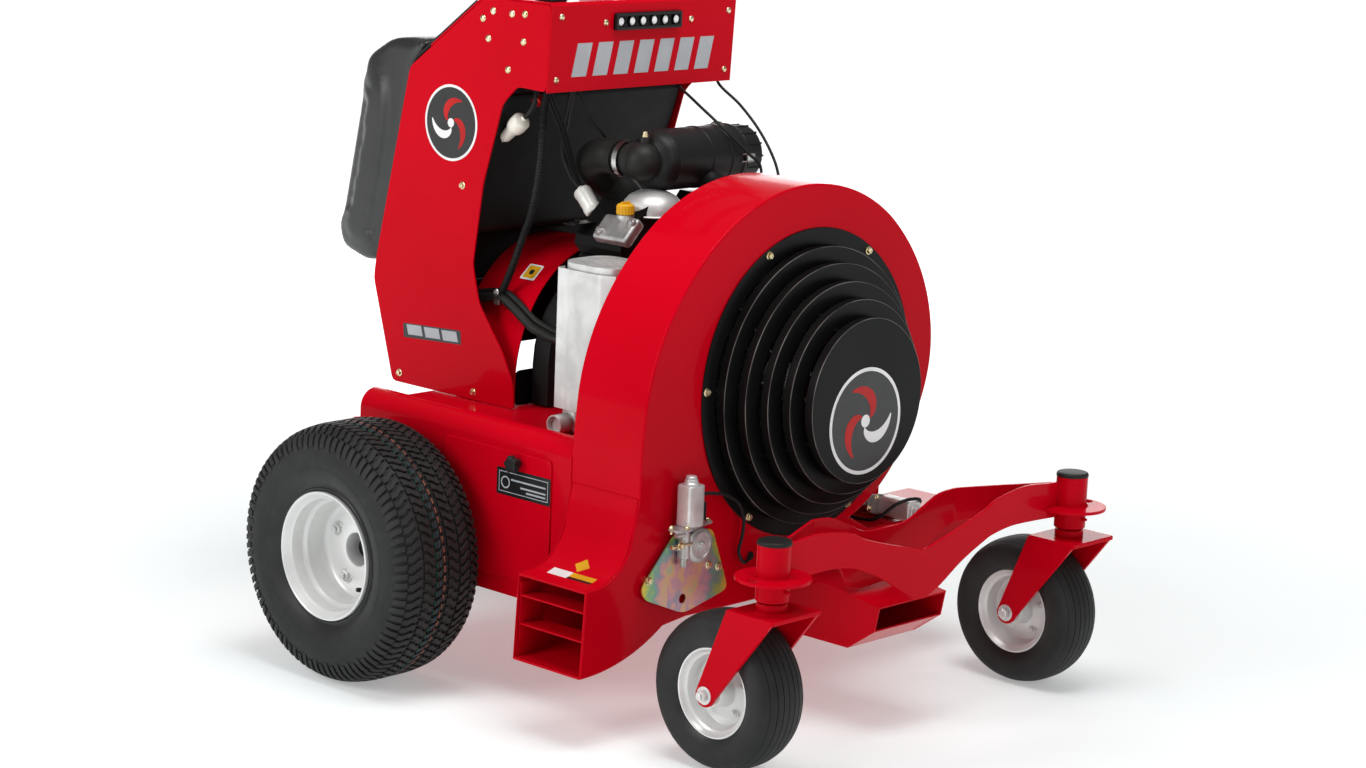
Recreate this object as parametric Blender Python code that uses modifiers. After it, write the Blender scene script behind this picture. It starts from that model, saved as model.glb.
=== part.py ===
"""A stand-on leaf blower: centrifugal blower in front of a horizontal V-twin, on two drive wheels
and two casters, with a control tower behind the engine.

Metres, +Z up, -Y forward, -X to the operator's right. The origin is on the floor, in the middle of
the machine's length and width.
"""
import math

import bmesh
import bpy
from mathutils import Matrix, Vector

GAP = 0.0005  # air between pieces that touch on the real machine
SHEET = 0.004  # sheet steel
SIDES = (("right", -1), ("left", 1))

# Wheels
REAR_R, REAR_HALF_W = 0.2414, 0.0975
REAR_X, REAR_Y = 0.547, 0.217
CASTER_R, CASTER_HALF_W = 0.1397, 0.0525
SPINDLE_X, SPINDLE_Y = 0.4167, -0.684
TRAIL = 0.089
SPINDLE_R, SPINDLE_BORE = 0.0294, 0.0165
SPINDLE_Z = (0.316, 0.412)
RING_Z, RING_R = 0.355, 0.066
FORK_TOP, FORK_HALF_W, FORK_PLATE = 0.300, 0.0625, 0.008

# Blower housing
FAN_Z = 0.591
FAN_R = 0.270
HOUSING_FRONT, HOUSING_BACK = -0.381, -0.210
HOUSING_SIDE_X = -0.431
SCROLL = ((-63, 0.309), (-25, 0.330), (5, 0.357), (50, 0.361), (88, 0.364), (140, 0.384), (182, 0.424))
DUCT_TOP, DUCT_BOTTOM, DUCT_END_X = 0.285, 0.200, 0.520
MOUTH_X, MOUTH_TOP, MOUTH_BOTTOM = -0.555, 0.287, 0.132
INTAKE_R, GRILLE_R = 0.255, 0.2847
DEFLECTOR_X, DEFLECTOR_Z = -0.304, 0.338
VANE_X, VANE_Y = 0.325, -0.2955

# Chassis
WALL_X, WALL_BOTTOM, FENDER_TOP = 0.430, 0.192, 0.505
DECK_Z = 0.480
CHASSIS_Y = (HOUSING_BACK + GAP, 0.360)
REAR_FACE_Y = 0.4205

# Tower
TOWER_X = 0.2475
CONSOLE_Z = 1.2505
CONSOLE_Y = (0.0605, 0.243)
LEVER_PIVOT = (0.200, 1.200)

# Engine
CLEANER = (0.0, -0.030, 0.960)
ELBOW_X = -0.090
OIL_X, OIL_Y, OIL_Z = -0.150, -0.048, 0.868

PAINTS = {
    "red_paint": ((0.62, 0.004, 0.018), 0.25, 0.0),
    "black_paint": ((0.012, 0.012, 0.013), 0.35, 0.0),
    "silver_paint": ((0.62, 0.62, 0.60), 0.35, 0.6),
    "zinc": ((0.66, 0.60, 0.42), 0.30, 0.9),
    "aluminium": ((0.60, 0.60, 0.58), 0.40, 0.9),
    "steel": ((0.50, 0.50, 0.50), 0.35, 1.0),
    "tyre_rubber": ((0.020, 0.020, 0.020), 0.80, 0.0),
    "black_plastic": ((0.018, 0.018, 0.019), 0.50, 0.0),
    "vinyl": ((0.015, 0.015, 0.015), 0.45, 0.0),
    "yellow_plastic": ((0.80, 0.48, 0.02), 0.40, 0.0),
}


def clear_scene():
    for old in list(bpy.data.objects):
        bpy.data.objects.remove(old, do_unlink=True)


def collection(name):
    made = bpy.data.collections.new(name)
    bpy.context.scene.collection.children.link(made)
    return made


def paint(name):
    found = bpy.data.materials.get(name)
    if found:
        return found
    colour, roughness, metallic = PAINTS[name]
    made = bpy.data.materials.new(name)
    made.use_nodes = True
    shader = made.node_tree.nodes["Principled BSDF"]
    shader.inputs["Base Color"].default_value = (*colour, 1.0)
    shader.inputs["Roughness"].default_value = roughness
    shader.inputs["Metallic"].default_value = metallic
    return made


def place(data, name, finish, at=(0, 0, 0), turn=(0, 0, 0)):
    """A new object in the parts collection, turned by degrees about X, Y and Z."""
    made = bpy.data.objects.new(name, data)
    PARTS.objects.link(made)
    made.location = at
    made.rotation_euler = [math.radians(angle) for angle in turn]
    made.data.materials.append(paint(finish))
    return made


def as_mesh(piece):
    """A curve made a mesh with welded caps, so that it can be cut or joined."""
    bpy.context.view_layer.update()
    name, matrix = piece.name, piece.matrix_world.copy()
    graph = bpy.context.evaluated_depsgraph_get()
    mesh = bpy.data.meshes.new_from_object(piece.evaluated_get(graph))
    bpy.data.objects.remove(piece, do_unlink=True)
    form = bmesh.new()
    form.from_mesh(mesh)
    bmesh.ops.remove_doubles(form, verts=form.verts, dist=1e-5)
    bmesh.ops.recalc_face_normals(form, faces=form.faces)
    form.to_mesh(mesh)
    form.free()
    mesh.name = name
    made = bpy.data.objects.new(name, mesh)
    PARTS.objects.link(made)
    made.matrix_world = matrix
    return made


def smooth(piece, angle=40):
    piece.data.shade_smooth()
    piece.data.set_sharp_from_angle(angle=math.radians(angle))
    return piece


def tool(piece):
    """Moves a piece to the cutters, which aren't part of the object."""
    PARTS.objects.unlink(piece)
    TOOLS.objects.link(piece)
    piece.hide_render = True
    piece.display_type = "WIRE"
    return piece


def boolean(piece, others, operation):
    for other in others:
        step = piece.modifiers.new(operation.lower(), "BOOLEAN")
        step.operation = operation
        step.solver = "EXACT"
        step.object = tool(other)
    return piece


def unite(piece, *others):
    return boolean(piece, others, "UNION")


def carve(piece, *others):
    return boolean(piece, others, "DIFFERENCE")


def bevel(piece, width, segments=2):
    step = piece.modifiers.new("bevel", "BEVEL")
    step.width = width
    step.segments = segments
    step.limit_method = "ANGLE"
    return piece


def block(name, low, high, finish, edge=0.0):
    """A box between two corners, with its edges rounded."""
    low, high = Vector(low), Vector(high)
    bpy.ops.mesh.primitive_cube_add(size=1)
    piece = bpy.context.object
    for holder in list(piece.users_collection):
        holder.objects.unlink(piece)
    PARTS.objects.link(piece)
    piece.name = name
    piece.location = (low + high) / 2
    piece.data.transform(Matrix.Diagonal((*(high - low), 1.0)))
    piece.data.materials.append(paint(finish))
    return bevel(piece, edge) if edge else piece


AIM = {"+X": (0, 90, 0), "-X": (0, -90, 0), "+Y": (-90, 0, 0), "-Y": (90, 0, 0), "+Z": (0, 0, 0)}


def turned(name, profile, axis, at, finish, steps=32, ring=False):
    """A profile of (radius, height) points, down its outer side, swept about an axis through a point."""
    count = len(profile)
    edges = [(i, (i + 1) % count) for i in range(count if ring else count - 1)]
    mesh = bpy.data.meshes.new(name)
    mesh.from_pydata([(r, 0, h) for r, h in profile], edges, [])
    piece = place(mesh, name, finish, at, AIM[axis])
    sweep = piece.modifiers.new("sweep", "SCREW")
    sweep.steps = sweep.render_steps = steps
    sweep.use_merge_vertices = True
    sweep.merge_threshold = 1e-5
    return piece


def rod(name, radius, low, high, axis, at, finish, steps=20):
    """A plain cylinder from low to high along its axis."""
    return turned(name, [(0, high), (radius, high), (radius, low), (0, low)], axis, at, finish, steps)


def outline(name, rings, thickness, finish):
    curve = bpy.data.curves.new(name, "CURVE")
    curve.dimensions = "2D"
    curve.fill_mode = "BOTH"
    curve.extrude = thickness / 2
    for ring in rings:
        spline = curve.splines.new("POLY")
        spline.points.add(len(ring) - 1)
        for point, (u, v) in zip(spline.points, ring):
            point.co = (u, v, 0, 1)
        spline.use_cyclic_u = True
    return curve


PLANES = {"XZ": (90, 0, 0), "YZ": (90, 0, 90), "XY": (0, 0, 0)}


def plate(name, rings, plane, span, finish):
    """A flat outline with holes, in a plane, between two positions on the third axis."""
    low, high = span
    at = {"XZ": (0, 1, 0), "YZ": (1, 0, 0), "XY": (0, 0, 1)}[plane]
    middle = Vector(at) * (low + high) / 2
    curve = outline(name, rings, high - low, finish)
    return as_mesh(place(curve, name, finish, middle, PLANES[plane]))


def strip(name, path, plane, span, thickness, finish):
    """A sheet bent along a path in a plane. It lies to the right of the path, and spans the third axis."""
    low, high = span
    low_points = [lift(point, plane, low) for point in path]
    high_points = [lift(point, plane, high) for point in path]
    count = len(path)
    faces = [(i, i + 1, count + i + 1, count + i) for i in range(count - 1)]
    mesh = bpy.data.meshes.new(name)
    mesh.from_pydata(low_points + high_points, [], faces)
    piece = place(mesh, name, finish)
    skin = piece.modifiers.new("sheet", "SOLIDIFY")
    skin.thickness = thickness
    skin.offset = 1 if plane == "YZ" else -1
    skin.use_even_offset = True
    return piece


def lift(point, plane, depth):
    u, v = point
    return {"XZ": (u, depth, v), "YZ": (depth, u, v), "XY": (u, v, depth)}[plane]


def tube(name, points, radius, finish, sides=3):
    curve = bpy.data.curves.new(name, "CURVE")
    curve.dimensions = "3D"
    curve.bevel_depth = radius
    curve.bevel_resolution = sides
    curve.use_fill_caps = True
    spline = curve.splines.new("POLY")
    spline.points.add(len(points) - 1)
    for target, point in zip(spline.points, points):
        target.co = (*point, 1)
    return as_mesh(place(curve, name, finish))


def circle(u, v, radius, count=24, first=0.0):
    step = 2 * math.pi / count
    return [(u + radius * math.cos(first + i * step), v + radius * math.sin(first + i * step))
            for i in range(count)]


def arc(u, v, radius, start, end, count):
    """Points on an arc between two angles in degrees."""
    angles = [math.radians(start + (end - start) * i / (count - 1)) for i in range(count)]
    return [(u + radius * math.cos(a), v + radius * math.sin(a)) for a in angles]


def rounded(points, radius, steps=3, closed=True):
    """The outline with each corner replaced by a small curve that starts radius before it."""
    made = []
    count = len(points)
    for i, corner in enumerate(points):
        if not closed and i in (0, count - 1):
            made.append(corner)
            continue
        here = Vector(corner)
        ends = []
        for other in (points[i - 1], points[(i + 1) % count]):
            along = Vector(other) - here
            ends.append(here + along * min(0.45, radius / along.length))
        for j in range(steps + 1):
            t = j / steps
            spot = ends[0] * (1 - t) ** 2 + here * 2 * t * (1 - t) + ends[1] * t ** 2
            made.append(tuple(spot))
    return made


def smooth_route(points, each=4):
    """A smooth curve through the points, each stretch cut in a number of steps."""
    points = [Vector(p) for p in points]
    made = []
    for i in range(len(points) - 1):
        before, a, b = points[max(i - 1, 0)], points[i], points[i + 1]
        after = points[min(i + 2, len(points) - 1)]
        for j in range(each):
            t = j / each
            made.append(0.5 * (2 * a + (b - before) * t + (2 * before - 5 * a + 4 * b - after) * t ** 2
                               + (3 * a - before - 3 * b + after) * t ** 3))
    return [tuple(p) for p in made] + [tuple(points[-1])]


def pivot(name, at, *pieces):
    """An empty on a joint's axis that carries the pieces that move there."""
    empty = bpy.data.objects.new(name, None)
    PARTS.objects.link(empty)
    empty.location = at
    bpy.context.view_layer.update()
    for piece in pieces:
        piece.parent = empty
        piece.matrix_parent_inverse = empty.matrix_world.inverted()


# Blower housing


def scroll_radius(angle):
    """The housing's radius at an angle from +X, on a smooth curve through the stations in SCROLL."""
    angles = [a for a, _ in SCROLL]
    last = len(SCROLL) - 2
    i = min(max(sum(a <= angle for a in angles) - 1, 0), last)
    a0, r0 = SCROLL[i]
    a1, r1 = SCROLL[i + 1]
    slope_in = (r1 - SCROLL[i - 1][1]) / (a1 - SCROLL[i - 1][0]) if i else (r1 - r0) / (a1 - a0)
    slope_out = (SCROLL[i + 2][1] - r0) / (SCROLL[i + 2][0] - a0) if i < last else (r1 - r0) / (a1 - a0)
    width = a1 - a0
    t = (angle - a0) / width
    return (r0 * (2 * t ** 3 - 3 * t ** 2 + 1) + slope_in * width * (t ** 3 - 2 * t ** 2 + t)
            + r1 * (3 * t ** 2 - 2 * t ** 3) + slope_out * width * (t ** 3 - t ** 2))


def wrap_path():
    """The housing's outer edge from the end of the left duct, over the fan, to the right mouth."""
    path = [(DUCT_END_X, DUCT_TOP), (0.2, DUCT_TOP)]
    first, last = SCROLL[0][0], SCROLL[-1][0]
    count = 30
    for i in range(count):
        angle = first + (last - first) * i / (count - 1)
        radius, turn = scroll_radius(angle), math.radians(angle)
        path.append((radius * math.cos(turn), FAN_Z + radius * math.sin(turn)))
    path += [(HOUSING_SIDE_X, 0.500), (HOUSING_SIDE_X, 0.433), (-0.4445, 0.372)]
    return path + arc(-0.5385, 0.3815, 0.094, -12, -78, 7)[1:] + [(MOUTH_X, MOUTH_TOP)]


def floor_path():
    """The housing's lower edge from the right mouth to the end of the left duct."""
    dip = arc(-0.560, 0.490, 0.358, -90.5, -56, 6)
    return dip + [(-0.300, 0.2005), (-0.22, DUCT_BOTTOM), (DUCT_END_X, DUCT_BOTTOM)]


def housing():
    edge = wrap_path() + floor_path()
    front = plate("housing_front_plate", [edge, circle(0, FAN_Z, INTAKE_R, 40)], "XZ",
                  (HOUSING_FRONT, HOUSING_FRONT + SHEET), "red_paint")
    window = block("window_cutter", (-0.086, -0.40, 0.214), (0.086, -0.36, 0.288), "red_paint")
    shaft_hole = rod("shaft_cutter", 0.014, -0.02, 0.02, "+Y",
                     (DEFLECTOR_X, HOUSING_FRONT, DEFLECTOR_Z), "red_paint")
    carve(front, window, shaft_hole)
    plate("housing_back_plate", [edge, circle(0, FAN_Z, 0.045, 20)], "XZ",
          (HOUSING_BACK - SHEET, HOUSING_BACK), "red_paint")
    inside = (HOUSING_FRONT + SHEET + GAP, HOUSING_BACK - SHEET - GAP)
    wrap = strip("housing_wrap", wrap_path()[::-1], "XZ", inside, SHEET, "red_paint")
    carve(wrap, rod("vane_cutter", 0.009, DUCT_TOP - 0.02, DUCT_TOP + 0.02, "+Z", (VANE_X, VANE_Y, 0),
                    "red_paint", 12))
    strip("housing_floor", floor_path()[::-1], "XZ", inside, SHEET, "red_paint")


def louvers():
    """Two blades across the right mouth, with a cheek at each end."""
    low_y, high_y = HOUSING_FRONT + SHEET + 2 * GAP, HOUSING_BACK - SHEET - 2 * GAP
    cheek = 0.002
    piece = block("right_discharge_louvers", (-0.553, low_y, 0.165), (-0.50, low_y + cheek, 0.272),
                  "red_paint")
    far = block("cheek", (-0.553, high_y - cheek, 0.165), (-0.50, high_y, 0.272), "red_paint")
    blades = [block("blade", (-0.552, low_y + cheek / 2, z), (-0.502, high_y - cheek / 2, z + 0.003),
                    "red_paint") for z in (0.194, 0.246)]
    return unite(piece, *blades, far)


CHUTE_X = 0.094
CHUTE_TOP = ((-0.3830, 0.305), (-0.43, 0.289), (-0.48, 0.268), (-0.515, 0.259), (-0.56, 0.254),
             (-0.6085, 0.246), (-0.654, 0.240))
CHUTE_BOTTOM = ((-0.645, 0.193), (-0.586, 0.151), (-0.43, 0.151), (-0.3830, 0.195))


def front_chute():
    side = list(CHUTE_TOP) + list(CHUTE_BOTTOM)
    pieces = [plate(f"chute_side_{i}", [side], "YZ", span, "red_paint")
              for i, span in enumerate(((-CHUTE_X, -CHUTE_X + 0.003), (CHUTE_X - 0.003, CHUTE_X)))]
    across = (-CHUTE_X + 0.0015, CHUTE_X - 0.0015)
    roof = [(y, z - 0.0002) for y, z in CHUTE_TOP]
    base = [(y, z + 0.0002) for y, z in CHUTE_BOTTOM]
    top = strip("chute_top", roof[::-1], "YZ", across, 0.003, "red_paint")
    bottom = strip("chute_bottom", base[::-1], "YZ", across, 0.003, "red_paint")
    pieces[0].name = "front_chute"
    return unite(pieces[0], top, bottom, pieces[1])


def intake_grille():
    """Stepped rings in front of the intake, each a flange and a short drum, with a flat cap."""
    steps = ((0.262, 0.029), (0.237, 0.057), (0.211, 0.086), (0.186, 0.115), (0.160, 0.144))
    wall = 0.003
    outer = [(0, steps[-1][1])]
    inner = [(0, steps[-1][1] - wall)]
    below = 0.0035
    for radius, height in reversed(steps):
        outer.append((radius, height))
        inner.append((radius - wall, height - wall))
        following = [h for r, h in steps if r > radius]
        floor_z = following[-1] if following else below
        outer.append((radius, floor_z))
        inner.append((radius - wall, max(floor_z - wall, 0)))
    outer += [(GRILLE_R, below), (GRILLE_R, 0)]
    profile = outer + inner[::-1]
    at = (0, HOUSING_FRONT - GAP, FAN_Z)
    return turned("intake_grille", profile, "-Y", at, "black_paint", 28)


def impeller():
    back_y, depth, blades = -0.232, 0.105, 8
    disc = turned("impeller", [(FAN_R, 0.004), (FAN_R, 0), (0.0165, 0), (0.0165, 0.075), (0.040, 0.075),
                               (0.045, 0.004)], "-Y", (0, back_y, FAN_Z), "steel", 24, ring=True)
    made = []
    for i in range(blades):
        blade = block("blade", (0.042, -depth, -0.002), (FAN_R - 0.003, -0.002, 0.002), "steel")
        turn = Matrix.Rotation(2 * math.pi * i / blades, 4, "Y")
        centre = Matrix.Translation((0, back_y, FAN_Z))
        blade.matrix_world = centre @ turn @ Matrix.Translation(blade.location)
        made.append(blade)
    shaft = turned("crankshaft", [(0, 0.175), (0.0155, 0.175), (0.0155, -0.268), (0.090, -0.268),
                                  (0.090, -0.290), (0, -0.290)], "-Y", (0, -0.155, FAN_Z), "steel", 20)
    pivot("fan_axis", (0, back_y, FAN_Z), unite(disc, *made), shaft)


def right_deflector():
    """A curved gate on a web, turning about a shaft that the right actuator drives."""
    low_y, high_y = HOUSING_FRONT + SHEET + 0.002, HOUSING_BACK - SHEET - 0.002
    reach, skin = 0.116, 0.004
    first, last = 198, 252
    gate = arc(0, 0, reach, first, last, 7) + arc(0, 0, reach - skin, last, first, 7)
    form = plate("right_deflector", [gate], "XZ", (low_y, high_y), "red_paint")
    form.location.x, form.location.z = DEFLECTOR_X, DEFLECTOR_Z
    middle = math.radians((first + last) / 2)
    along = Vector((math.cos(middle), math.sin(middle)))
    across = Vector((-along.y, along.x)) * 0.0025
    web = [tuple(along * d + across * s) for d, s in ((0, 1), (0, -1), (reach - skin / 2, -1),
                                                      (reach - skin / 2, 1))]
    arm = plate("web", [web], "XZ", (low_y + 0.001, high_y - 0.001), "red_paint")
    arm.location.x, arm.location.z = DEFLECTOR_X, DEFLECTOR_Z
    shaft = rod("shaft", 0.011, HOUSING_FRONT - 0.004, high_y, "+Y", (DEFLECTOR_X, 0, DEFLECTOR_Z),
                "steel", 16)
    pivot("right_deflector_axis", (DEFLECTOR_X, HOUSING_FRONT, DEFLECTOR_Z), unite(form, arm, shaft))


def left_deflector():
    """An upright vane across the left duct on a shaft through the duct's top."""
    half, skin, low = 0.055, 0.002, DUCT_BOTTOM + 0.0085
    vane = block("left_deflector", (VANE_X - half, VANE_Y - skin, low),
                 (VANE_X + half, VANE_Y + skin, DUCT_TOP - 0.0075), "black_paint")
    shaft = rod("shaft", 0.007, low - 0.001, DUCT_TOP, "+Z", (VANE_X, VANE_Y, 0), "steel", 12)
    pivot("left_deflector_axis", (VANE_X, VANE_Y, DUCT_TOP), unite(vane, shaft))


def right_actuator():
    """A gear motor on a plated bracket, standing off the front plate."""
    front = HOUSING_FRONT - 0.008
    corners = [(-0.350, 0.362), (-0.432, 0.274), (-0.421, 0.253), (-0.328, 0.215), (-0.310, 0.214),
               (-0.213, 0.237), (-0.208, 0.247), (-0.252, 0.357)]
    back = plate("right_actuator", [rounded(corners, 0.010), circle(-0.324, 0.240, 0.008, 12)], "XZ",
                 (front - 0.003, front), "zinc")
    face = front - 0.0025
    gearbox = rod("gearbox", 0.029, -face, -face + 0.024, "-Y", (DEFLECTOR_X, 0, DEFLECTOR_Z),
                  "aluminium", 20)
    body = block("motor", (-0.352, face - 0.040, 0.369), (-0.317, face - 0.003, 0.454), "aluminium", 0.007)
    neck = block("neck", (-0.350, face - 0.034, 0.318), (-0.319, face - 0.001, 0.372), "aluminium", 0.005)
    nose = rod("nose", 0.010, 0.450, 0.4695, "+Z", (-0.3345, face - 0.0215, 0), "aluminium", 16)
    unite(back, gearbox, neck, body, nose)


def left_actuator():
    """The same gear motor lying on the left duct."""
    base = DUCT_TOP + GAP
    corners = [(0.265, -0.262), (0.292, -0.322), (0.321, -0.366), (0.345, -0.372), (0.405, -0.330),
               (0.430, -0.268), (0.415, -0.236), (0.285, -0.236)]
    bottom = plate("left_actuator", [rounded(corners, 0.010)], "XY", (base, base + 0.003), "zinc")
    low = base + 0.0025
    gear = rod("gearbox", 0.029, low, low + 0.024, "+Z", (VANE_X, VANE_Y, 0), "aluminium", 20)
    neck = block("neck", (VANE_X, VANE_Y - 0.013, low + 0.001), (0.364, VANE_Y + 0.018, low + 0.034),
                 "aluminium", 0.005)
    motor = block("motor", (0.361, VANE_Y - 0.015, low + 0.003), (0.428, VANE_Y + 0.020, low + 0.040),
                  "aluminium", 0.007)
    unite(bottom, gear, neck, motor)


# Chassis


def chassis():
    roll = 0.035
    half = [(WALL_X, WALL_BOTTOM)] + arc(WALL_X - roll, FENDER_TOP - roll, roll, 0, 100, 7) + [
        (0.372, DECK_Z + 0.009), (0.355, DECK_Z)]
    path = half + [(-x, z) for x, z in half[::-1]]
    shell = strip("chassis_shell", path[::-1], "XZ", CHASSIS_Y, 0.005, "red_paint")
    for _, side in SIDES:
        hub = rod("hub_cutter", 0.046, -0.02, 0.02, "+X", (side * WALL_X, REAR_Y, REAR_R), "red_paint")
        carve(shell, hub)
    belly = block("belly", (-0.420, CHASSIS_Y[0], 0.193), (0.420, REAR_FACE_Y - 0.001, 0.198), "red_paint")
    bend = 0.055
    top = DECK_Z - 0.0305
    curve = arc(REAR_FACE_Y - bend, top - bend, bend, 0, 90, 6)
    path = [(REAR_FACE_Y, 0.194)] + curve + [(CHASSIS_Y[1] + GAP, top)]
    bulkhead = block("bulkhead", (-0.424, CHASSIS_Y[0] + 0.0005, 0.194),
                     (0.424, CHASSIS_Y[0] + 0.0045, 0.474), "red_paint")
    unite(strip("chassis_pan", path[::-1], "YZ", (-0.424, 0.424), 0.004, "red_paint"), belly, bulkhead)
    cover = [(-0.162, 0.225), (0.120, 0.225), (0.120, 0.462), (-0.162, 0.462)]
    plate("access_cover", [rounded(cover, 0.012)], "YZ", (-WALL_X - 0.0035, -WALL_X - GAP), "red_paint")
    at = (-WALL_X - 0.0035, -0.078, 0.443)
    knob = turned("access_knob", [(0, 0.024), (0.013, 0.024), (0.016, 0.020), (0.016, 0.008),
                                  (0.008, 0.006), (0.008, GAP), (0, GAP)], "-X", at, "black_plastic", 16)
    pivot("access_knob_axis", at, knob)


BEAM_TOP = ((0, 0.337), (0.04, 0.346), (0.10, 0.361), (0.17, 0.382), (0.20, 0.396), (0.26, 0.407),
            (0.30, 0.410), (0.36, 0.405), (0.387, 0.404))
BEAM_BOTTOM = ((0, 0.246), (0.04, 0.258), (0.11, 0.298), (0.175, 0.326), (0.193, 0.332), (0.247, 0.340),
               (0.31, 0.340), (0.387, 0.337))
REAR_BEAM_TOP = ((0, 0.358), (0.06, 0.361), (0.11, 0.382), (0.15, 0.398), (0.20, 0.402), (0.388, 0.402))
REAR_BEAM_BOTTOM = ((0, 0.258), (0.09, 0.262), (0.13, 0.310), (0.20, 0.338), (0.388, 0.340))


def level(edge, x):
    """The height of an edge at x, on straight runs between its points."""
    for (x0, z0), (x1, z1) in zip(edge, edge[1:]):
        if x <= x1:
            return z0 + (z1 - z0) * (x - x0) / (x1 - x0)
    return edge[-1][1]


def beam_plate(name, top, bottom, plan, end):
    """One plate of the front beam: half of it, bent in plan, then mirrored and thickened."""
    count = 14
    columns = [end * i / (count - 1) for i in range(count)]
    low = [(x, plan(x), level(bottom, x)) for x in columns]
    high = [(x, plan(x), level(top, x)) for x in columns]
    faces = [(i, i + 1, count + i + 1, count + i) for i in range(count - 1)]
    mesh = bpy.data.meshes.new(name)
    mesh.from_pydata(low + high, [], faces)
    piece = place(mesh, name, "red_paint")
    mirror = piece.modifiers.new("mirror", "MIRROR")
    mirror.merge_threshold = 1e-5
    skin = piece.modifiers.new("sheet", "SOLIDIFY")
    skin.thickness = 0.006
    skin.offset = 0
    return piece


def front_beam():
    beam_plate("front_beam_front_plate", BEAM_TOP, BEAM_BOTTOM, lambda x: -0.672, 0.386)
    bend_x, middle_y, end = 0.20, -0.580, (0.386, -0.663)
    slope = (end[1] - middle_y) / (end[0] - bend_x)
    beam_plate("front_beam_rear_plate", REAR_BEAM_TOP, REAR_BEAM_BOTTOM,
               lambda x: middle_y + slope * max(x - bend_x, 0), end[0])


def spindle(side_name, side):
    x = side * SPINDLE_X
    low, high = SPINDLE_Z
    wall = [(SPINDLE_R, high), (SPINDLE_R, low), (SPINDLE_BORE, low), (SPINDLE_BORE, high)]
    post = turned(f"spindle_housing_{side_name}", wall, "+Z", (x, SPINDLE_Y, 0), "red_paint", 20, ring=True)
    rings = [circle(x, SPINDLE_Y, RING_R, 24), circle(x, SPINDLE_Y, 0.023, 20),
             circle(x + side * 0.047, SPINDLE_Y, 0.011, 12)]
    flange = plate("ring", rings, "XY", (RING_Z - 0.0025, RING_Z + 0.0025), "red_paint")
    slot_low, slot_high = sorted((x - side * 0.075, x - side * 0.0285))
    slots = [block("slot", (slot_low, -0.6685, 0.34), (slot_high, -0.600, 0.37), "red_paint"),
             block("slot", (slot_low, -0.6775, 0.34), (slot_high, -0.6665, 0.37), "red_paint")]
    carve(flange, *slots)
    unite(post, flange)


def caster(side_name, side):
    x = side * SPINDLE_X
    wheel_y = SPINDLE_Y + TRAIL
    low = FORK_TOP - FORK_PLATE
    fork = block(f"caster_fork_{side_name}", (x - FORK_HALF_W, -0.742, low),
                 (x + FORK_HALF_W, -0.636, FORK_TOP), "red_paint")
    leg = [(-0.742, FORK_TOP - 0.001), (-0.636, FORK_TOP - 0.001)] + arc(wheel_y, CASTER_R, 0.021, 10,
                                                                         -160, 9)
    inner, outer = FORK_HALF_W - FORK_PLATE, FORK_HALF_W - 0.0005
    legs = [plate("leg", [leg], "YZ", tuple(sorted((x + turn * inner, x + turn * outer))), "red_paint")
            for turn in (-1, 1)]
    stem = turned("stem", [(0, 0.404), (SPINDLE_BORE - 0.001, 0.404), (SPINDLE_BORE - 0.001, 0.312),
                           (0.026, 0.312), (0.026, low + 0.002), (0, low + 0.002)], "+Z",
                  (x, SPINDLE_Y, 0), "steel", 20)
    reach = FORK_HALF_W + 0.008
    axle = turned("axle", [(0, reach), (0.011, reach), (0.011, FORK_HALF_W - 0.001),
                           (0.0095, FORK_HALF_W - 0.001),
                           (0.0095, -FORK_HALF_W + 0.001), (0.011, -FORK_HALF_W + 0.001), (0.011, -reach),
                           (0, -reach)], "+X", (x, wheel_y, CASTER_R), "steel", 12)
    unite(fork, *legs, stem, axle)
    at = (x, wheel_y, CASTER_R)
    rim = turned(f"caster_rim_{side_name}", [
        (0.0785, 0.043), (0.0785, 0.0395), (0.070, 0.034), (0.070, -0.034), (0.0785, -0.0395),
        (0.0785, -0.043), (0.066, -0.034), (0.063, -0.007), (0.024, -0.007), (0.022, -0.048),
        (0.0105, -0.048), (0.0105, 0.048), (0.022, 0.048), (0.024, 0.007), (0.063, 0.007), (0.066, 0.034)],
        "+X", at, "silver_paint", 18, ring=True)
    half = [(0.0793, 0.0440), (0.095, 0.0510), (0.117, 0.0525), (0.131, 0.044), (0.1375, 0.028),
            (CASTER_R, 0.010)]
    profile = half + [(r, -h) for r, h in half[::-1]]
    profile += [(0.0793, -0.0392), (0.0706, -0.0335), (0.0706, 0.0335), (0.0793, 0.0392)]
    tyre = turned(f"caster_tyre_{side_name}", profile, "+X", at, "tyre_rubber", 24, ring=True)
    pivot(f"caster_swivel_{side_name}", (x, SPINDLE_Y, FORK_TOP), fork)
    pivot(f"caster_axle_{side_name}", at, rim, tyre)


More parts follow.
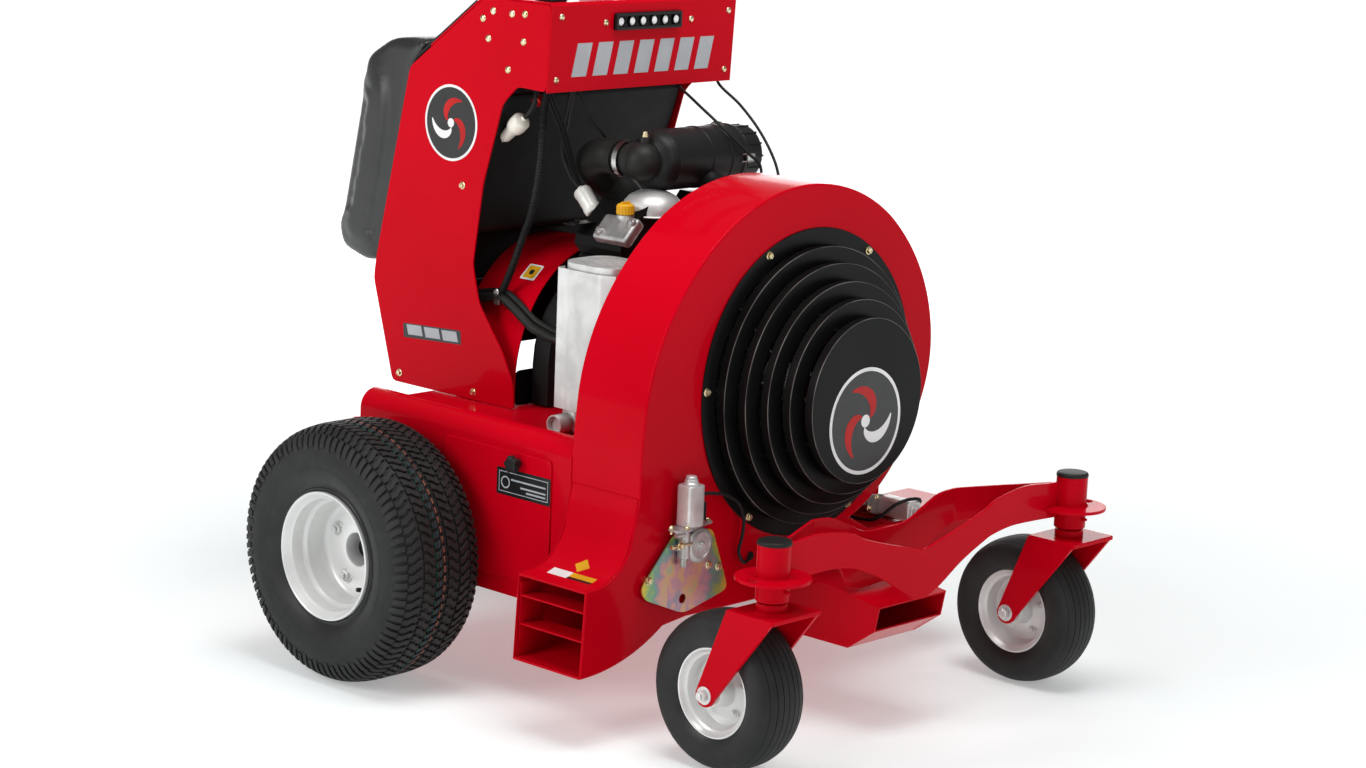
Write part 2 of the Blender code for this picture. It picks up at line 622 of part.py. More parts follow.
def rear_wheel(side_name, side):
    at = (side * REAR_X, REAR_Y, REAR_R)
    out = "+X" if side > 0 else "-X"
    rim = turned(f"rear_rim_{side_name}", [
        (0.1187, 0.088), (0.1187, 0.0835), (0.112, 0.078), (0.112, -0.078), (0.1187, -0.0835),
        (0.1187, -0.088), (0.107, -0.079), (0.104, -0.012), (0.052, -0.006), (0.046, -0.097),
        (0.026, -0.097), (0.026, 0.004),
        (0.052, 0.004), (0.075, -0.002), (0.098, -0.002), (0.104, 0.010), (0.107, 0.079)], out, at,
        "silver_paint", 22, ring=True)
    half = [(0.1195, 0.0900), (0.135, 0.0945), (0.170, REAR_HALF_W), (0.205, 0.0950), (0.226, 0.085),
            (0.2375, 0.064), (REAR_R, 0.034)]
    profile = half + [(r, -h) for r, h in half[::-1]]
    profile += [(0.1195, -0.0830), (0.1127, -0.0773), (0.1127, 0.0773), (0.1195, 0.0830)]
    tyre = turned(f"rear_tyre_{side_name}", profile, out, at, "tyre_rubber", 30, ring=True)
    pivot(f"rear_axle_{side_name}", at, rim, tyre)
    wall = WALL_X - REAR_X
    turned(f"wheel_motor_{side_name}", [
        (0, -0.010), (0.0175, -0.010), (0.0175, wall - 0.006), (0.037, wall - 0.006), (0.037, wall - 0.110),
        (0, wall - 0.110)], out, at, "black_paint", 20)


# Engine


def engine():
    low_z = DECK_Z + GAP
    crankcase = block("engine_crankcase", (-0.115, -0.135, low_z), (0.115, 0.105, 0.700), "aluminium",
                      0.018)
    carve(crankcase, rod("crank_cutter", 0.019, -0.2, 0.2, "+Y", (0, -0.02, FAN_Z), "aluminium", 16))
    for side_name, side in SIDES:
        cylinder(side_name, side)
    arch = [(-0.185, low_z + 0.002), (0.185, low_z + 0.002)] + arc(0, 0.560, 0.185, 0, 180, 17)
    plate("engine_shroud", [arch, circle(0, FAN_Z, 0.096, 24)], "XZ", (0.1065, 0.150), "black_plastic")
    cap = turned("oil_fill_cap", [(0, 0.020), (0.014, 0.020), (0.0165, 0.017), (0.0165, 0), (0, 0)], "+Z",
                 (OIL_X, OIL_Y, OIL_Z + GAP), "yellow_plastic", 16)
    pivot("oil_cap_axis", (OIL_X, OIL_Y, OIL_Z), cap)
    muffler()
    intake()


def cylinder(side_name, side):
    """A finned cylinder leaning out, with its head and rocker cover."""
    fins, pitch, base, reach = 7, 0.0135, 0.052, 0.060
    comb = []
    for i in range(fins):
        z = i * pitch
        comb += [(base, z), (reach, z), (reach, z + 0.006), (base, z + 0.006)]
    top = fins * pitch
    comb += [(reach, top), (reach, top + 0.022), (0.045, top + 0.034)]
    ring = [(-base, -0.028), (base, -0.028)] + comb + [(-u, v) for u, v in comb[::-1]]
    piece = plate(f"cylinder_{side_name}", [ring], "XZ", (-0.060, 0.060), "black_paint")
    lean = Matrix.Rotation(side * math.radians(42), 4, "Y")
    lean = Matrix.Translation((side * 0.062, -0.012, 0.758)) @ lean
    piece.matrix_world = lean @ piece.matrix_world


def muffler():
    """An oval can on a short foot, with the outlet pipe turned out of the foot."""
    path = rounded([(-0.325, -0.190), (-0.205, -0.190), (-0.205, -0.054), (-0.325, -0.054)], 0.050, 5)
    can = plate("muffler", [path], "XY", (0.534, 0.800), "silver_paint")
    foot = block("foot", (-0.314, -0.100, 0.4845), (-0.274, -0.062, 0.540), "silver_paint")
    y, z = -0.078, 0.5015
    elbow = smooth_route([(-0.294, y, 0.545), (-0.294, y, 0.518), (-0.302, y, z + 0.004), (-0.325, y, z),
                          (-0.348, y, z)], 3)
    unite(can, foot, tube("outlet", elbow, 0.0185, "steel"))


def intake():
    _, y, z = CLEANER
    can = turned("air_cleaner", [(0, 0.190), (0.050, 0.190), (0.053, 0.186), (0.053, 0.140), (0.058, 0.136),
                                 (0.058, -0.036), (0.050, -0.050), (0.030, -0.052), (0.030, -0.085),
                                 (0, -0.085)],
                 "+X", CLEANER, "black_plastic", 20)
    bpy.ops.mesh.primitive_uv_sphere_add(segments=12, ring_count=8, radius=0.036, location=(ELBOW_X, y, z))
    ball = bpy.context.object
    for holder in list(ball.users_collection):
        holder.objects.unlink(ball)
    PARTS.objects.link(ball)
    stub = rod("stub", 0.030, y, y + 0.058, "+Y", (ELBOW_X, 0, z), "black_plastic", 20)
    unite(can, ball, stub)
    start = y + 0.0585
    bend = [(ELBOW_X, start, z)]
    bend += smooth_route([(ELBOW_X, start + 0.012, z), (ELBOW_X, start + 0.040, z), (-0.078, 0.112, 0.942),
                          (-0.030, 0.122, 0.905), (0, 0.098, 0.872), (0, 0.092, 0.8465)], 3)
    hose = tube("intake_hose", bend, 0.0335, "black_plastic", 2)
    unite(hose, block("throttle_body", (-0.036, 0.052, 0.781), (0.036, 0.130, 0.848), "aluminium", 0.010))


def guard_arch():
    """A sheet arch over the engine's fan end, from the deck on one side to the deck on the other."""
    half_w, height, base = 0.226, 0.258, 0.520
    over = [(-half_w * math.cos(math.radians(a)), base + height * math.sin(math.radians(a)))
            for a in range(0, 181, 10)]
    path = [(-half_w, DECK_Z + 2 * GAP)] + over + [(half_w, DECK_Z + 2 * GAP)]
    strip("guard_arch", path, "XZ", (0.155, 0.315), 0.003, "red_paint")


def pump():
    case = block("hydraulic_pump", (-0.085, -0.090, 0.245), (0.085, 0.110, 0.400), "aluminium", 0.012)
    unite(case, rod("input_shaft", 0.010, 0.39, 0.440, "+Z", (0, 0.01, 0), "steel", 12))


def cables():
    """The throttle and choke cables, from the console down past the air cleaner to the governor."""
    throttle = [(0.114, 0.084, 1.115), (0.112, 0.080, 1.085), (0.090, 0.015, 1.060), (0.082, -0.060, 1.023),
                (0.120, -0.104, 0.970), (0.136, -0.121, 0.946), (0.128, -0.126, 0.900),
                (0.100, -0.112, 0.852)]
    choke = [(0.226, 0.084, 1.115), (0.227, 0.080, 1.080), (0.240, 0.030, 1.040), (0.238, -0.030, 0.990),
             (0.227, -0.082, 0.932), (0.205, -0.105, 0.885), (0.150, -0.112, 0.850)]
    tube("throttle_cable", smooth_route(throttle, 3), 0.003, "black_plastic", 1)
    tube("choke_cable", smooth_route(choke, 3), 0.003, "black_plastic", 1)


# Tower


PANEL = ((0.476, 0.481), (0.537, 0.676), (0.532, 0.714), (0.445, 1.098), (0.2412, 1.247), (0.0642, 1.247),
         (0.072, 1.086), (0.147, 1.089), (0.186, 1.053), (0.233, 0.898), (0.256, 0.741), (0.236, 0.669),
         (0.167, 0.584), (0.138, 0.531), (0.132, 0.481))


def tower():
    for side_name, side in SIDES:
        span = tuple(sorted((side * TOWER_X, side * (TOWER_X - SHEET))))
        plate(f"tower_panel_{side_name}", [rounded(PANEL, 0.010, 2)], "YZ", span, "red_paint")
    across = (-TOWER_X, TOWER_X)
    front_y, rear_y = CONSOLE_Y
    path = [(0.0685, 1.085), (front_y, CONSOLE_Z - 0.006), (front_y + 0.006, CONSOLE_Z),
            (rear_y, CONSOLE_Z), (0.3871, 1.1447)]
    console = strip("console_housing", path, "YZ", across, 0.003, "red_paint")
    slots = [block("slot", (side * 0.11 - 0.007, 0.150, 1.2), (side * 0.11 + 0.007, 0.242, 1.3),
                   "red_paint")
             for _, side in SIDES]
    carve(console, *slots)
    inner = (-TOWER_X + SHEET + GAP, TOWER_X - SHEET - GAP)
    back = [(0.486, 0.518), (0.535, 0.677), (0.530, 0.713), (0.446, 1.085)]
    strip("tower_rear_panel", [(y - 0.0015, z) for y, z in back[::-1]], "YZ", inner, 0.003, "black_paint")
    pad = [(0.404, 1.1490), (0.504, 1.140), (0.559, 1.109), (0.582, 1.052), (0.645, 0.757), (0.632, 0.726),
           (0.554, 0.709), (0.5345, 0.7155), (0.4475, 1.1000), (0.404, 1.1325)]
    plate("thigh_pad", [pad], "YZ", across, "vinyl")
    tank = [(0.190, 1.070), (0.425, 1.070), (0.508, 0.715), (0.500, 0.690), (0.335, 0.690), (0.330, 0.785),
            (0.262, 0.800), (0.246, 0.900), (0.196, 1.045)]
    plate("fuel_tank", [rounded(tank, 0.012, 2)], "YZ", (-0.238, 0.238), "black_plastic")


def handlebar():
    """A bar across the front of the console, for the hands to rest on."""
    foot_x = 0.215
    half = [(foot_x, 0.098, CONSOLE_Z + GAP), (foot_x, 0.096, 1.300), (foot_x - 0.006, 0.092, 1.330),
            (foot_x - 0.030, 0.090, 1.345)]
    whole = [(-x, y, z) for x, y, z in half] + half[::-1]
    tube("front_handlebar", whole, 0.0105, "black_paint")


def controls():
    y, z = LEVER_PIVOT
    for side_name, side in SIDES:
        x = side * 0.11
        arm = block(f"drive_lever_{side_name}", (x - 0.004, y - 0.009, z - 0.016),
                    (x + 0.004, y + 0.009, 1.325), "black_paint")
        low_x, high_x = sorted((side * 0.045, side * 0.175))
        grip = rod("grip", 0.0135, low_x, high_x, "+X", (0, y, 1.330), "black_plastic", 16)
        pivot(f"drive_lever_axis_{side_name}", (x, y, z), unite(arm, grip))
    top = CONSOLE_Z + GAP
    at = (-0.180, 0.145, top + 0.013)
    lever = rod("throttle_lever", 0.0125, -0.004, 0.004, "+X", at, "steel", 16)
    stalk = block("stalk", (at[0] - 0.002, at[1] - 0.005, at[2]),
                  (at[0] + 0.002, at[1] + 0.005, at[2] + 0.030), "steel")
    knob = rod("knob", 0.008, at[2] + 0.024, at[2] + 0.040, "+Z", (at[0], at[1], 0), "black_plastic", 12)
    pivot("throttle_axis", at, unite(lever, stalk, knob))
    at = (0.190, 0.120, top)
    choke = turned("choke_knob", [(0, 0.030), (0.011, 0.030), (0.013, 0.026), (0.013, 0.016),
                                  (0.004, 0.014), (0.004, 0), (0, 0)], "+Z", at, "black_plastic", 16)
    pivot("choke_axis", at, choke)
    at = (0.195, 0.185, top)
    barrel = rod("ignition_key", 0.008, 0, 0.012, "+Z", at, "steel", 16)
    bow = block("bow", (at[0] - 0.011, at[1] - 0.0025, top + 0.010),
                (at[0] + 0.011, at[1] + 0.0025, top + 0.036), "black_plastic")
    pivot("key_axis", at, unite(barrel, bow))
    at = (0, 0.105, top + 0.010)
    profile = [(0, 0.052), (0.008, 0.050), (0.010, 0.042), (0.008, 0.032), (0.004, 0.028), (0.004, 0.008),
               (0.009, 0), (0.006, -0.009), (0, -0.009)]
    stick = turned("deflector_joystick", profile, "+Z", at, "black_plastic", 16)
    pivot("joystick_axis", at, stick)
    at = (0, 0.196, top)
    cap = turned("fuel_cap", [(0, 0.022), (0.030, 0.022), (0.034, 0.018), (0.034, 0), (0, 0)], "+Z", at,
                 "black_plastic", 24)
    pivot("fuel_cap_axis", at, cap)


def platform():
    hinge_y, hinge_z = 0.4345, 0.181
    deck = block("operator_platform", (-0.215, 0.440, 0.172), (0.215, 0.750, 0.190), "black_paint", 0.004)
    barrel = rod("barrel", 0.0088, -0.200, 0.200, "+X", (0, hinge_y, hinge_z), "black_paint", 12)
    pivot("platform_hinge", (0, hinge_y, hinge_z), unite(deck, barrel))


def build():
    housing()
    louvers()
    front_chute()
    intake_grille()
    impeller()
    right_deflector()
    left_deflector()
    right_actuator()
    left_actuator()
    chassis()
    front_beam()
    for side_name, side in SIDES:
        spindle(side_name, side)
        caster(side_name, side)
        rear_wheel(side_name, side)
    engine()
    guard_arch()
    pump()
    cables()
    tower()
    handlebar()
    controls()
    platform()


clear_scene()
PARTS = collection("stand_on_leaf_blower")
TOOLS = collection("cutters")
build()
for made in PARTS.objects:
    if made.type == "MESH" and len(made.data.polygons):
        smooth(made)
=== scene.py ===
"""The looks of a stand-on leaf blower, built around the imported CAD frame.

Metres, +Z up, -Y forward and -X to the operator's right, as in the CAD model.
"""
import math
import random

import bmesh
import bpy
from mathutils import Matrix, Vector
from mathutils.geometry import tessellate_polygon


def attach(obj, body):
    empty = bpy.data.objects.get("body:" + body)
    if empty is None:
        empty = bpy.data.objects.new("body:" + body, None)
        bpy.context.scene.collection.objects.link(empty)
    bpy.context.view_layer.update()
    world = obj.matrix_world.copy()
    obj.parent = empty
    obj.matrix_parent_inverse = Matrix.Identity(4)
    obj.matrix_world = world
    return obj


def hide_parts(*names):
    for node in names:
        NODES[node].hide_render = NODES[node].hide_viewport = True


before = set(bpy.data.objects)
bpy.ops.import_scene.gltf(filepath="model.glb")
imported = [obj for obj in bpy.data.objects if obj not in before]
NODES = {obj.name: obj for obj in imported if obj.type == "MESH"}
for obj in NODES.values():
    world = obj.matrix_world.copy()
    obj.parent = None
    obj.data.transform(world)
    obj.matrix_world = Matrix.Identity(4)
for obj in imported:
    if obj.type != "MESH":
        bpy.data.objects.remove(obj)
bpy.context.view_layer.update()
SCENE = bpy.context.scene
SIDES = (("right", -1), ("left", 1))
X, Y, Z = Vector((1, 0, 0)), Vector((0, 1, 0)), Vector((0, 0, 1))

# Places that the CAD model has too
FAN_Z, INTAKE_R, GRILLE_R = 0.591, 0.255, 0.2847
HOUSING_FRONT, HOUSING_BACK = -0.381, -0.210
HOUSING_SIDE_X, SHEET = -0.431, 0.004
SCROLL = ((-63, 0.309), (-25, 0.330), (5, 0.357), (50, 0.361), (88, 0.364), (140, 0.384), (182, 0.424))
DUCT_TOP, DUCT_BOTTOM, DUCT_END_X = 0.285, 0.200, 0.520
MOUTH_X, MOUTH_TOP = -0.555, 0.287
VANE = (0.325, -0.2955)
GATE = (-0.304, 0.338)
REAR_WHEEL, REAR_R = (0.547, 0.217, 0.2414), 0.2414
CASTER_WHEEL, CASTER_R = (0.4167, -0.595, 0.1397), 0.1397
SPINDLE = (0.4167, -0.684)
WALL_X, DECK_Z, TOWER_X, CONSOLE_Z = 0.430, 0.480, 0.2475, 1.2505
CLEANER_Y, CLEANER_Z, ELBOW_X = -0.030, 0.960, -0.090
OIL = (-0.150, -0.048, 0.868)


# Materials


class Paint:
    """One procedural material: a Principled shader and a few nodes in object space."""

    def __init__(self, name, slot, colour, rough, metal=0.0, **sockets):
        self.slot = slot
        self.data = bpy.data.materials.new(name)
        self.data.use_nodes = True
        self.tree = self.data.node_tree
        self.shader = self.tree.nodes["Principled BSDF"]
        self.put("Base Color", (*colour, 1.0))
        self.put("Roughness", rough)
        self.put("Metallic", metal)
        for socket, value in sockets.items():
            self.put(socket.replace("_", " "), value)
        self.here = self.node("ShaderNodeTexCoord").outputs["Object"]

    def put(self, socket, value):
        if isinstance(value, bpy.types.NodeSocket):
            self.tree.links.new(value, self.shader.inputs[socket])
        else:
            self.shader.inputs[socket].default_value = value

    def node(self, kind, settings=None, **inputs):
        made = self.tree.nodes.new(kind)
        for key, value in (settings or {}).items():
            setattr(made, key, value)
        for key, value in inputs.items():
            is_index = key[0] == "i" and key[1:].isdigit()
            socket = made.inputs[int(key[1:]) if is_index else key.replace("_", " ")]
            if isinstance(value, bpy.types.NodeSocket):
                self.tree.links.new(value, socket)
            else:
                socket.default_value = value
        return made

    def stretched(self, scale, shift=(0, 0, 0)):
        return self.node("ShaderNodeMapping", Vector=self.here, Scale=scale, Location=shift).outputs["Vector"]

    def noise(self, scale, detail=3.0, where=None, distortion=0.0):
        return self.node("ShaderNodeTexNoise", Vector=where or self.here, Scale=scale, Detail=detail,
                         Distortion=distortion).outputs["Fac"]

    def cells(self, scale, where=None, feature="F1"):
        return self.node("ShaderNodeTexVoronoi", {"feature": feature}, Vector=where or self.here,
                         Scale=scale).outputs["Distance"]

    def ramp(self, source, *stops):
        made = self.node("ShaderNodeValToRGB", Fac=source)
        ramp = made.color_ramp
        while len(ramp.elements) < len(stops):
            ramp.elements.new(0.5)
        for element, (place, colour) in zip(ramp.elements, stops):
            element.position = place
            element.color = (*colour, 1) if len(colour) == 3 else colour
        return made.outputs["Color"]

    def scale(self, source, low, high):
        """The source, from 0 to 1, on a range of its own."""
        return self.node("ShaderNodeMapRange", Value=source, To_Min=low, To_Max=high).outputs["Result"]

    def band(self, source, low, high, to_low=0.0, to_high=1.0):
        return self.node("ShaderNodeMapRange", Value=source, From_Min=low, From_Max=high, To_Min=to_low,
                         To_Max=to_high).outputs["Result"]

    def sum(self, a, b, operation="ADD"):
        return self.node("ShaderNodeMath", {"operation": operation}, i0=a, i1=b).outputs[0]

    def blend(self, factor, a, b):
        return self.node("ShaderNodeMix", {"data_type": "RGBA"}, i0=factor, i6=a, i7=b).outputs[2]

    def bump(self, height, distance, strength=1.0):
        made = self.node("ShaderNodeBump", Height=height, Distance=distance, Strength=strength)
        self.put("Normal", made.outputs["Normal"])
        return self

    def mottle(self, colour_a, colour_b, scale, rough_a, rough_b, detail=4.0, distortion=0.0):
        """Colour and roughness that drift between two values across the surface."""
        drift = self.noise(scale, detail, distortion=distortion)
        self.put("Base Color", self.ramp(drift, (0.35, colour_a), (0.65, colour_b)))
        self.put("Roughness", self.scale(self.noise(scale * 2.3, 3.0), rough_a, rough_b))
        return self


def radius_from(paint, centre_y, centre_z):
    """The distance from an axle that runs along X."""
    offset = paint.node("ShaderNodeMapping", Vector=paint.here, Location=(0, -centre_y, -centre_z),
                        Scale=(0, 1, 1)).outputs["Vector"]
    return paint.node("ShaderNodeVectorMath", {"operation": "LENGTH"}, i0=offset).outputs["Value"]


def red_paint():
    made = Paint("red_powder_coat", "red_paint", (0.56, 0.0016, 0.009), 0.22, Specular_IOR_Level=0.03,
                 Specular_Tint=(1.0, 0.24, 0.30, 1.0), Coat_Weight=0.24, Coat_IOR=1.2, Coat_Roughness=0.04)
    made.mottle((0.500, 0.0004, 0.0080), (0.560, 0.0006, 0.0105), 2.2, 0.20, 0.30)
    return made.bump(made.noise(340, 1.5), 0.00012, 0.30)


def black_paint(name="satin_black_powder_coat", rough=(0.28, 0.40), coarse=520):
    made = Paint(name, "black_paint", (0.005, 0.005, 0.005), 0.34, Specular_IOR_Level=0.12)
    made.mottle((0.0035, 0.0035, 0.0035), (0.0060, 0.0060, 0.0060), 6, *rough)
    return made.bump(made.noise(coarse, 2), 0.00018, 0.5)


def plastic(name, colour, rough=0.5, slot="black_plastic", grain=0.00010, **more):
    made = Paint(name, slot, colour, rough, Specular_IOR_Level=0.22, **more)
    darker = tuple(c * 0.75 for c in colour)
    made.mottle(darker, colour, 9, rough * 0.85, rough * 1.15)
    return made.bump(made.noise(900, 2), grain, 0.6)


def silver_paint():
    made = Paint("silver_wheel_paint", "silver_paint", (0.78, 0.78, 0.77), 0.34, 0.22, Coat_Weight=0.35,
                 Coat_Roughness=0.12)
    made.mottle((0.72, 0.72, 0.71), (0.84, 0.84, 0.83), 7, 0.28, 0.42)
    return made.bump(made.noise(260, 2), 0.00015, 0.5)


def heat_silver():
    made = Paint("aluminised_steel", "silver_paint", (0.66, 0.66, 0.65), 0.40, 0.55)
    made.mottle((0.56, 0.56, 0.55), (0.76, 0.76, 0.75), 14, 0.30, 0.52, distortion=0.6)
    return made.bump(made.noise(420, 3), 0.0002, 0.6)


def cast_aluminium():
    made = Paint("cast_aluminium", "aluminium", (0.50, 0.50, 0.49), 0.42, 0.9)
    made.mottle((0.36, 0.36, 0.355), (0.60, 0.60, 0.585), 22, 0.30, 0.58, distortion=0.8)
    return made.bump(made.noise(380, 4), 0.0004, 0.8)


def steel():
    made = Paint("bright_steel", "steel", (0.52, 0.52, 0.51), 0.26, 1.0)
    made.mottle((0.42, 0.42, 0.42), (0.60, 0.60, 0.59), 30, 0.20, 0.38)
    return made.bump(made.noise(80, 3, made.stretched((1, 1, 12))), 0.00008, 0.5)


def yellow_zinc():
    made = Paint("yellow_zinc", "zinc", (0.72, 0.58, 0.30), 0.26, 1.0)
    made.mottle((0.62, 0.50, 0.26), (0.82, 0.74, 0.52), 90, 0.18, 0.36)
    return made.bump(made.noise(700, 2), 0.00006, 0.5)


def chromate():
    """Yellow chromate: pink, violet and orange in the middle, blue-green outside it and a yellow rim."""
    made = Paint("yellow_chromate", "zinc", (0.66, 0.60, 0.42), 0.34, 0.70)
    offset = made.node("ShaderNodeMapping", Vector=made.here, Location=(0.320, 0.0, -0.272),
                       Scale=(1, 0, 1)).outputs["Vector"]
    away = made.node("ShaderNodeVectorMath", {"operation": "LENGTH"}, i0=offset).outputs["Value"]
    drift = made.noise(30, 3.5, distortion=1.4)
    rim = made.sum(made.band(away, 0.02, 0.120), made.scale(drift, -0.30, 0.30))
    inner = made.ramp(made.noise(34, 3, made.stretched((1, 1, 0.8)), 0.8), (0.36, (0.34, 0.30, 0.36)),
                      (0.45, (0.52, 0.30, 0.36)), (0.54, (0.62, 0.36, 0.26)), (0.62, (0.58, 0.42, 0.22)),
                      (0.72, (0.40, 0.44, 0.30)))
    outer = made.ramp(rim, (0.42, (0.36, 0.26, 0.34)), (0.58, (0.14, 0.36, 0.34)), (0.74, (0.36, 0.50, 0.12)),
                      (0.88, (0.76, 0.54, 0.08)))
    made.put("Base Color", made.blend(made.band(rim, 0.38, 0.60), inner, outer))
    made.put("Roughness", made.scale(made.noise(60, 3), 0.26, 0.44))
    return made.bump(made.noise(500, 2), 0.00006, 0.5)


def rubber(name, centre, slot="tyre_rubber", sheen_r=None):
    """Tyre rubber with fine rings from the mould; sheen_r is where the bead is a little glossier."""
    made = Paint(name, slot, (0.012, 0.012, 0.012), 0.58, Specular_IOR_Level=0.34)
    away = radius_from(made, centre[1], centre[2])
    drift = made.noise(18, 4, distortion=0.5)
    made.put("Base Color", made.ramp(drift, (0.3, (0.0085, 0.0085, 0.0085)), (0.7, (0.0165, 0.0165, 0.0165))))
    near, far = sheen_r
    made.put("Roughness", made.sum(made.band(away, near, far, 0.34, 0.60),
                                   made.scale(made.noise(60, 3), -0.06, 0.1)))
    rings = made.node("ShaderNodeMath", {"operation": "SINE"}, i0=made.sum(away, 2600, "MULTIPLY")).outputs[0]
    return made.bump(made.sum(made.scale(rings, 0, 0.10), made.noise(420, 3)), 0.0003, 0.45)


def striped_rubber():
    """The drive tyre's tread, with the maker's coloured mould lines run round it."""
    made = rubber("tread_rubber", REAR_WHEEL, sheen_r=(0.14, 0.22))
    across = made.node("ShaderNodeSeparateXYZ", Vector=made.here).outputs["X"]
    across = made.node("ShaderNodeMath", {"operation": "ABSOLUTE"}, i0=across).outputs[0]
    away = radius_from(made, REAR_WHEEL[1], REAR_WHEEL[2])
    top = made.band(away, REAR_R - 0.006, REAR_R - 0.004)
    worn = made.band(made.noise(150, 3), 0.34, 0.52)
    base = made.ramp(made.noise(18, 4, distortion=0.5), (0.3, (0.0085, 0.0085, 0.0085)),
                     (0.7, (0.0165, 0.0165, 0.0165)))
    for centre, half, colour, strength in ((0.5565, 0.0007, (0.50, 0.13, 0.06), 0.80),
                                           (0.5660, 0.0008, (0.015, 0.11, 0.17), 0.60),
                                           (0.5735, 0.0007, (0.02, 0.17, 0.11), 0.50)):
        off = made.node("ShaderNodeMath", {"operation": "ABSOLUTE"}, i0=made.sum(across, -centre)).outputs[0]
        line = made.band(off, half * 1.5, half * 0.8)
        share = made.sum(made.sum(line, top, "MULTIPLY"), made.sum(worn, strength, "MULTIPLY"), "MULTIPLY")
        base = made.blend(share, base, (*colour, 1))
    made.put("Base Color", base)
    return made


def vinyl():
    made = Paint("black_vinyl", "vinyl", (0.010, 0.010, 0.0105), 0.30, Specular_IOR_Level=0.6,
                 Sheen_Weight=0.08, Sheen_Roughness=0.4)
    made.mottle((0.0085, 0.0085, 0.009), (0.0135, 0.0135, 0.014), 12, 0.24, 0.36)
    grain = made.sum(made.cells(620), made.scale(made.noise(240, 3), 0, 0.6))
    return made.bump(grain, 0.0005, 0.28)


def clear_plastic(name, colour, slot="black_plastic", through=0.35):
    made = Paint(name, slot, colour, 0.22, Transmission_Weight=through, IOR=1.46, Coat_Weight=0.4)
    pale = tuple(min(1.0, c * 1.15) for c in colour)
    made.mottle(colour, pale, 40, 0.16, 0.30)
    return made


RED = red_paint()
BLACK = black_paint()
TREAD = black_paint("tread_black", (0.45, 0.65), 700)
# A pale grey for thin rings on the grille's rims: a painted highlight standing in for the glint on rounded
# black sheet edges.
PAINTED_EDGE_HIGHLIGHT = Paint("black_sheet_painted_highlight", "black_paint", (0.16, 0.15, 0.14), 0.35, 0.3).mottle(
    (0.020, 0.020, 0.020), (0.16, 0.15, 0.14), 14, 0.25, 0.45)
PLASTIC = plastic("moulded_black", (0.013, 0.013, 0.0135), 0.42)
TANK = plastic("tank_black", (0.004, 0.004, 0.004), 0.55)
HOSE = plastic("hose_rubber", (0.016, 0.016, 0.015), 0.48, grain=0.0002)
LOOM = plastic("loom_black", (0.014, 0.014, 0.015), 0.55)
SILVER = silver_paint()
HOT = heat_silver()
CAST = cast_aluminium()
STEEL = steel()
ZINC = yellow_zinc()
CHROMATE = chromate()
TYRE = rubber("drive_tyre_rubber", REAR_WHEEL, sheen_r=(0.125, 0.165))
TREAD_RUBBER = striped_rubber()
CASTER_TYRE = rubber("caster_tyre_rubber", CASTER_WHEEL, sheen_r=(0.082, 0.12))
VINYL = vinyl()
YELLOW = plastic("yellow_cap", (0.78, 0.40, 0.015), 0.38, "yellow_plastic")
WHITE = clear_plastic("white_filter", (0.86, 0.85, 0.80), through=0.03)
CLEAR = clear_plastic("clear_filter", (0.88, 0.85, 0.76), through=0.10)
CAP_RED = plastic("red_cap", (0.55, 0.01, 0.01), 0.35)
DECAL_GREY = Paint("decal_grey", "silver_paint", (0.42, 0.44, 0.46), 0.34).mottle(
    (0.36, 0.385, 0.41), (0.41, 0.435, 0.46), 20, 0.28, 0.38)
DECAL_WHITE = Paint("decal_white", "silver_paint", (0.80, 0.80, 0.80), 0.30).mottle(
    (0.74, 0.74, 0.74), (0.84, 0.84, 0.84), 20, 0.25, 0.35)
DECAL_BLACK = Paint("decal_black", "black_plastic", (0.010, 0.010, 0.011), 0.28).mottle(
    (0.008, 0.008, 0.009), (0.013, 0.013, 0.014), 20, 0.24, 0.34)
LED = Paint("led_lens", "silver_paint", (0.80, 0.82, 0.84), 0.10, Coat_Weight=1.0).mottle(
    (0.70, 0.72, 0.75), (0.90, 0.92, 0.94), 60, 0.06, 0.16)


# Shapes. A shape is (points, faces), and each is closed.


def lift(point, plane, depth):
    u, v = point
    return {"XZ": (u, depth, v), "YZ": (depth, u, v), "XY": (u, v, depth)}[plane]


def merged(*shapes):
    points, faces = [], []
    for these, those in shapes:
        start = len(points)
        points += [Vector(p) for p in these]
        faces += [[start + i for i in face] for face in those]
    return points, faces


def moved(shape, matrix):
    return [matrix @ Vector(p) for p in shape[0]], shape[1]


def facing(direction, at=(0, 0, 0)):
    """The matrix that turns +Z to a direction and moves the origin to a point."""
    turn = Z.rotation_difference(Vector(direction).normalized()).to_matrix().to_4x4()
    return Matrix.Translation(Vector(at)) @ turn


def lathe(profile, steps=48, ring=False, first=0.0):
    """A profile of (radius, height) swept about Z."""
    points, starts = [], []
    for radius, height in profile:
        starts.append(len(points))
        if radius < 1e-7:
            points.append(Vector((0, 0, height)))
            continue
        for i in range(steps):
            a = first + 2 * math.pi * i / steps
            points.append(Vector((radius * math.cos(a), radius * math.sin(a), height)))
    faces = []
    count = len(profile)
    for i in range(count if ring else count - 1):
        j = (i + 1) % count
        a_pole, b_pole = profile[i][0] < 1e-7, profile[j][0] < 1e-7
        if a_pole and b_pole:
            continue
        for k in range(steps):
            n = (k + 1) % steps
            a = [starts[i]] if a_pole else [starts[i] + k, starts[i] + n]
            b = [starts[j]] if b_pole else [starts[j] + n, starts[j] + k]
            faces.append(a + b)
    return points, faces


def turned(profile, direction, at, steps=48, ring=False):
    return moved(lathe(profile, steps, ring), facing(direction, at))


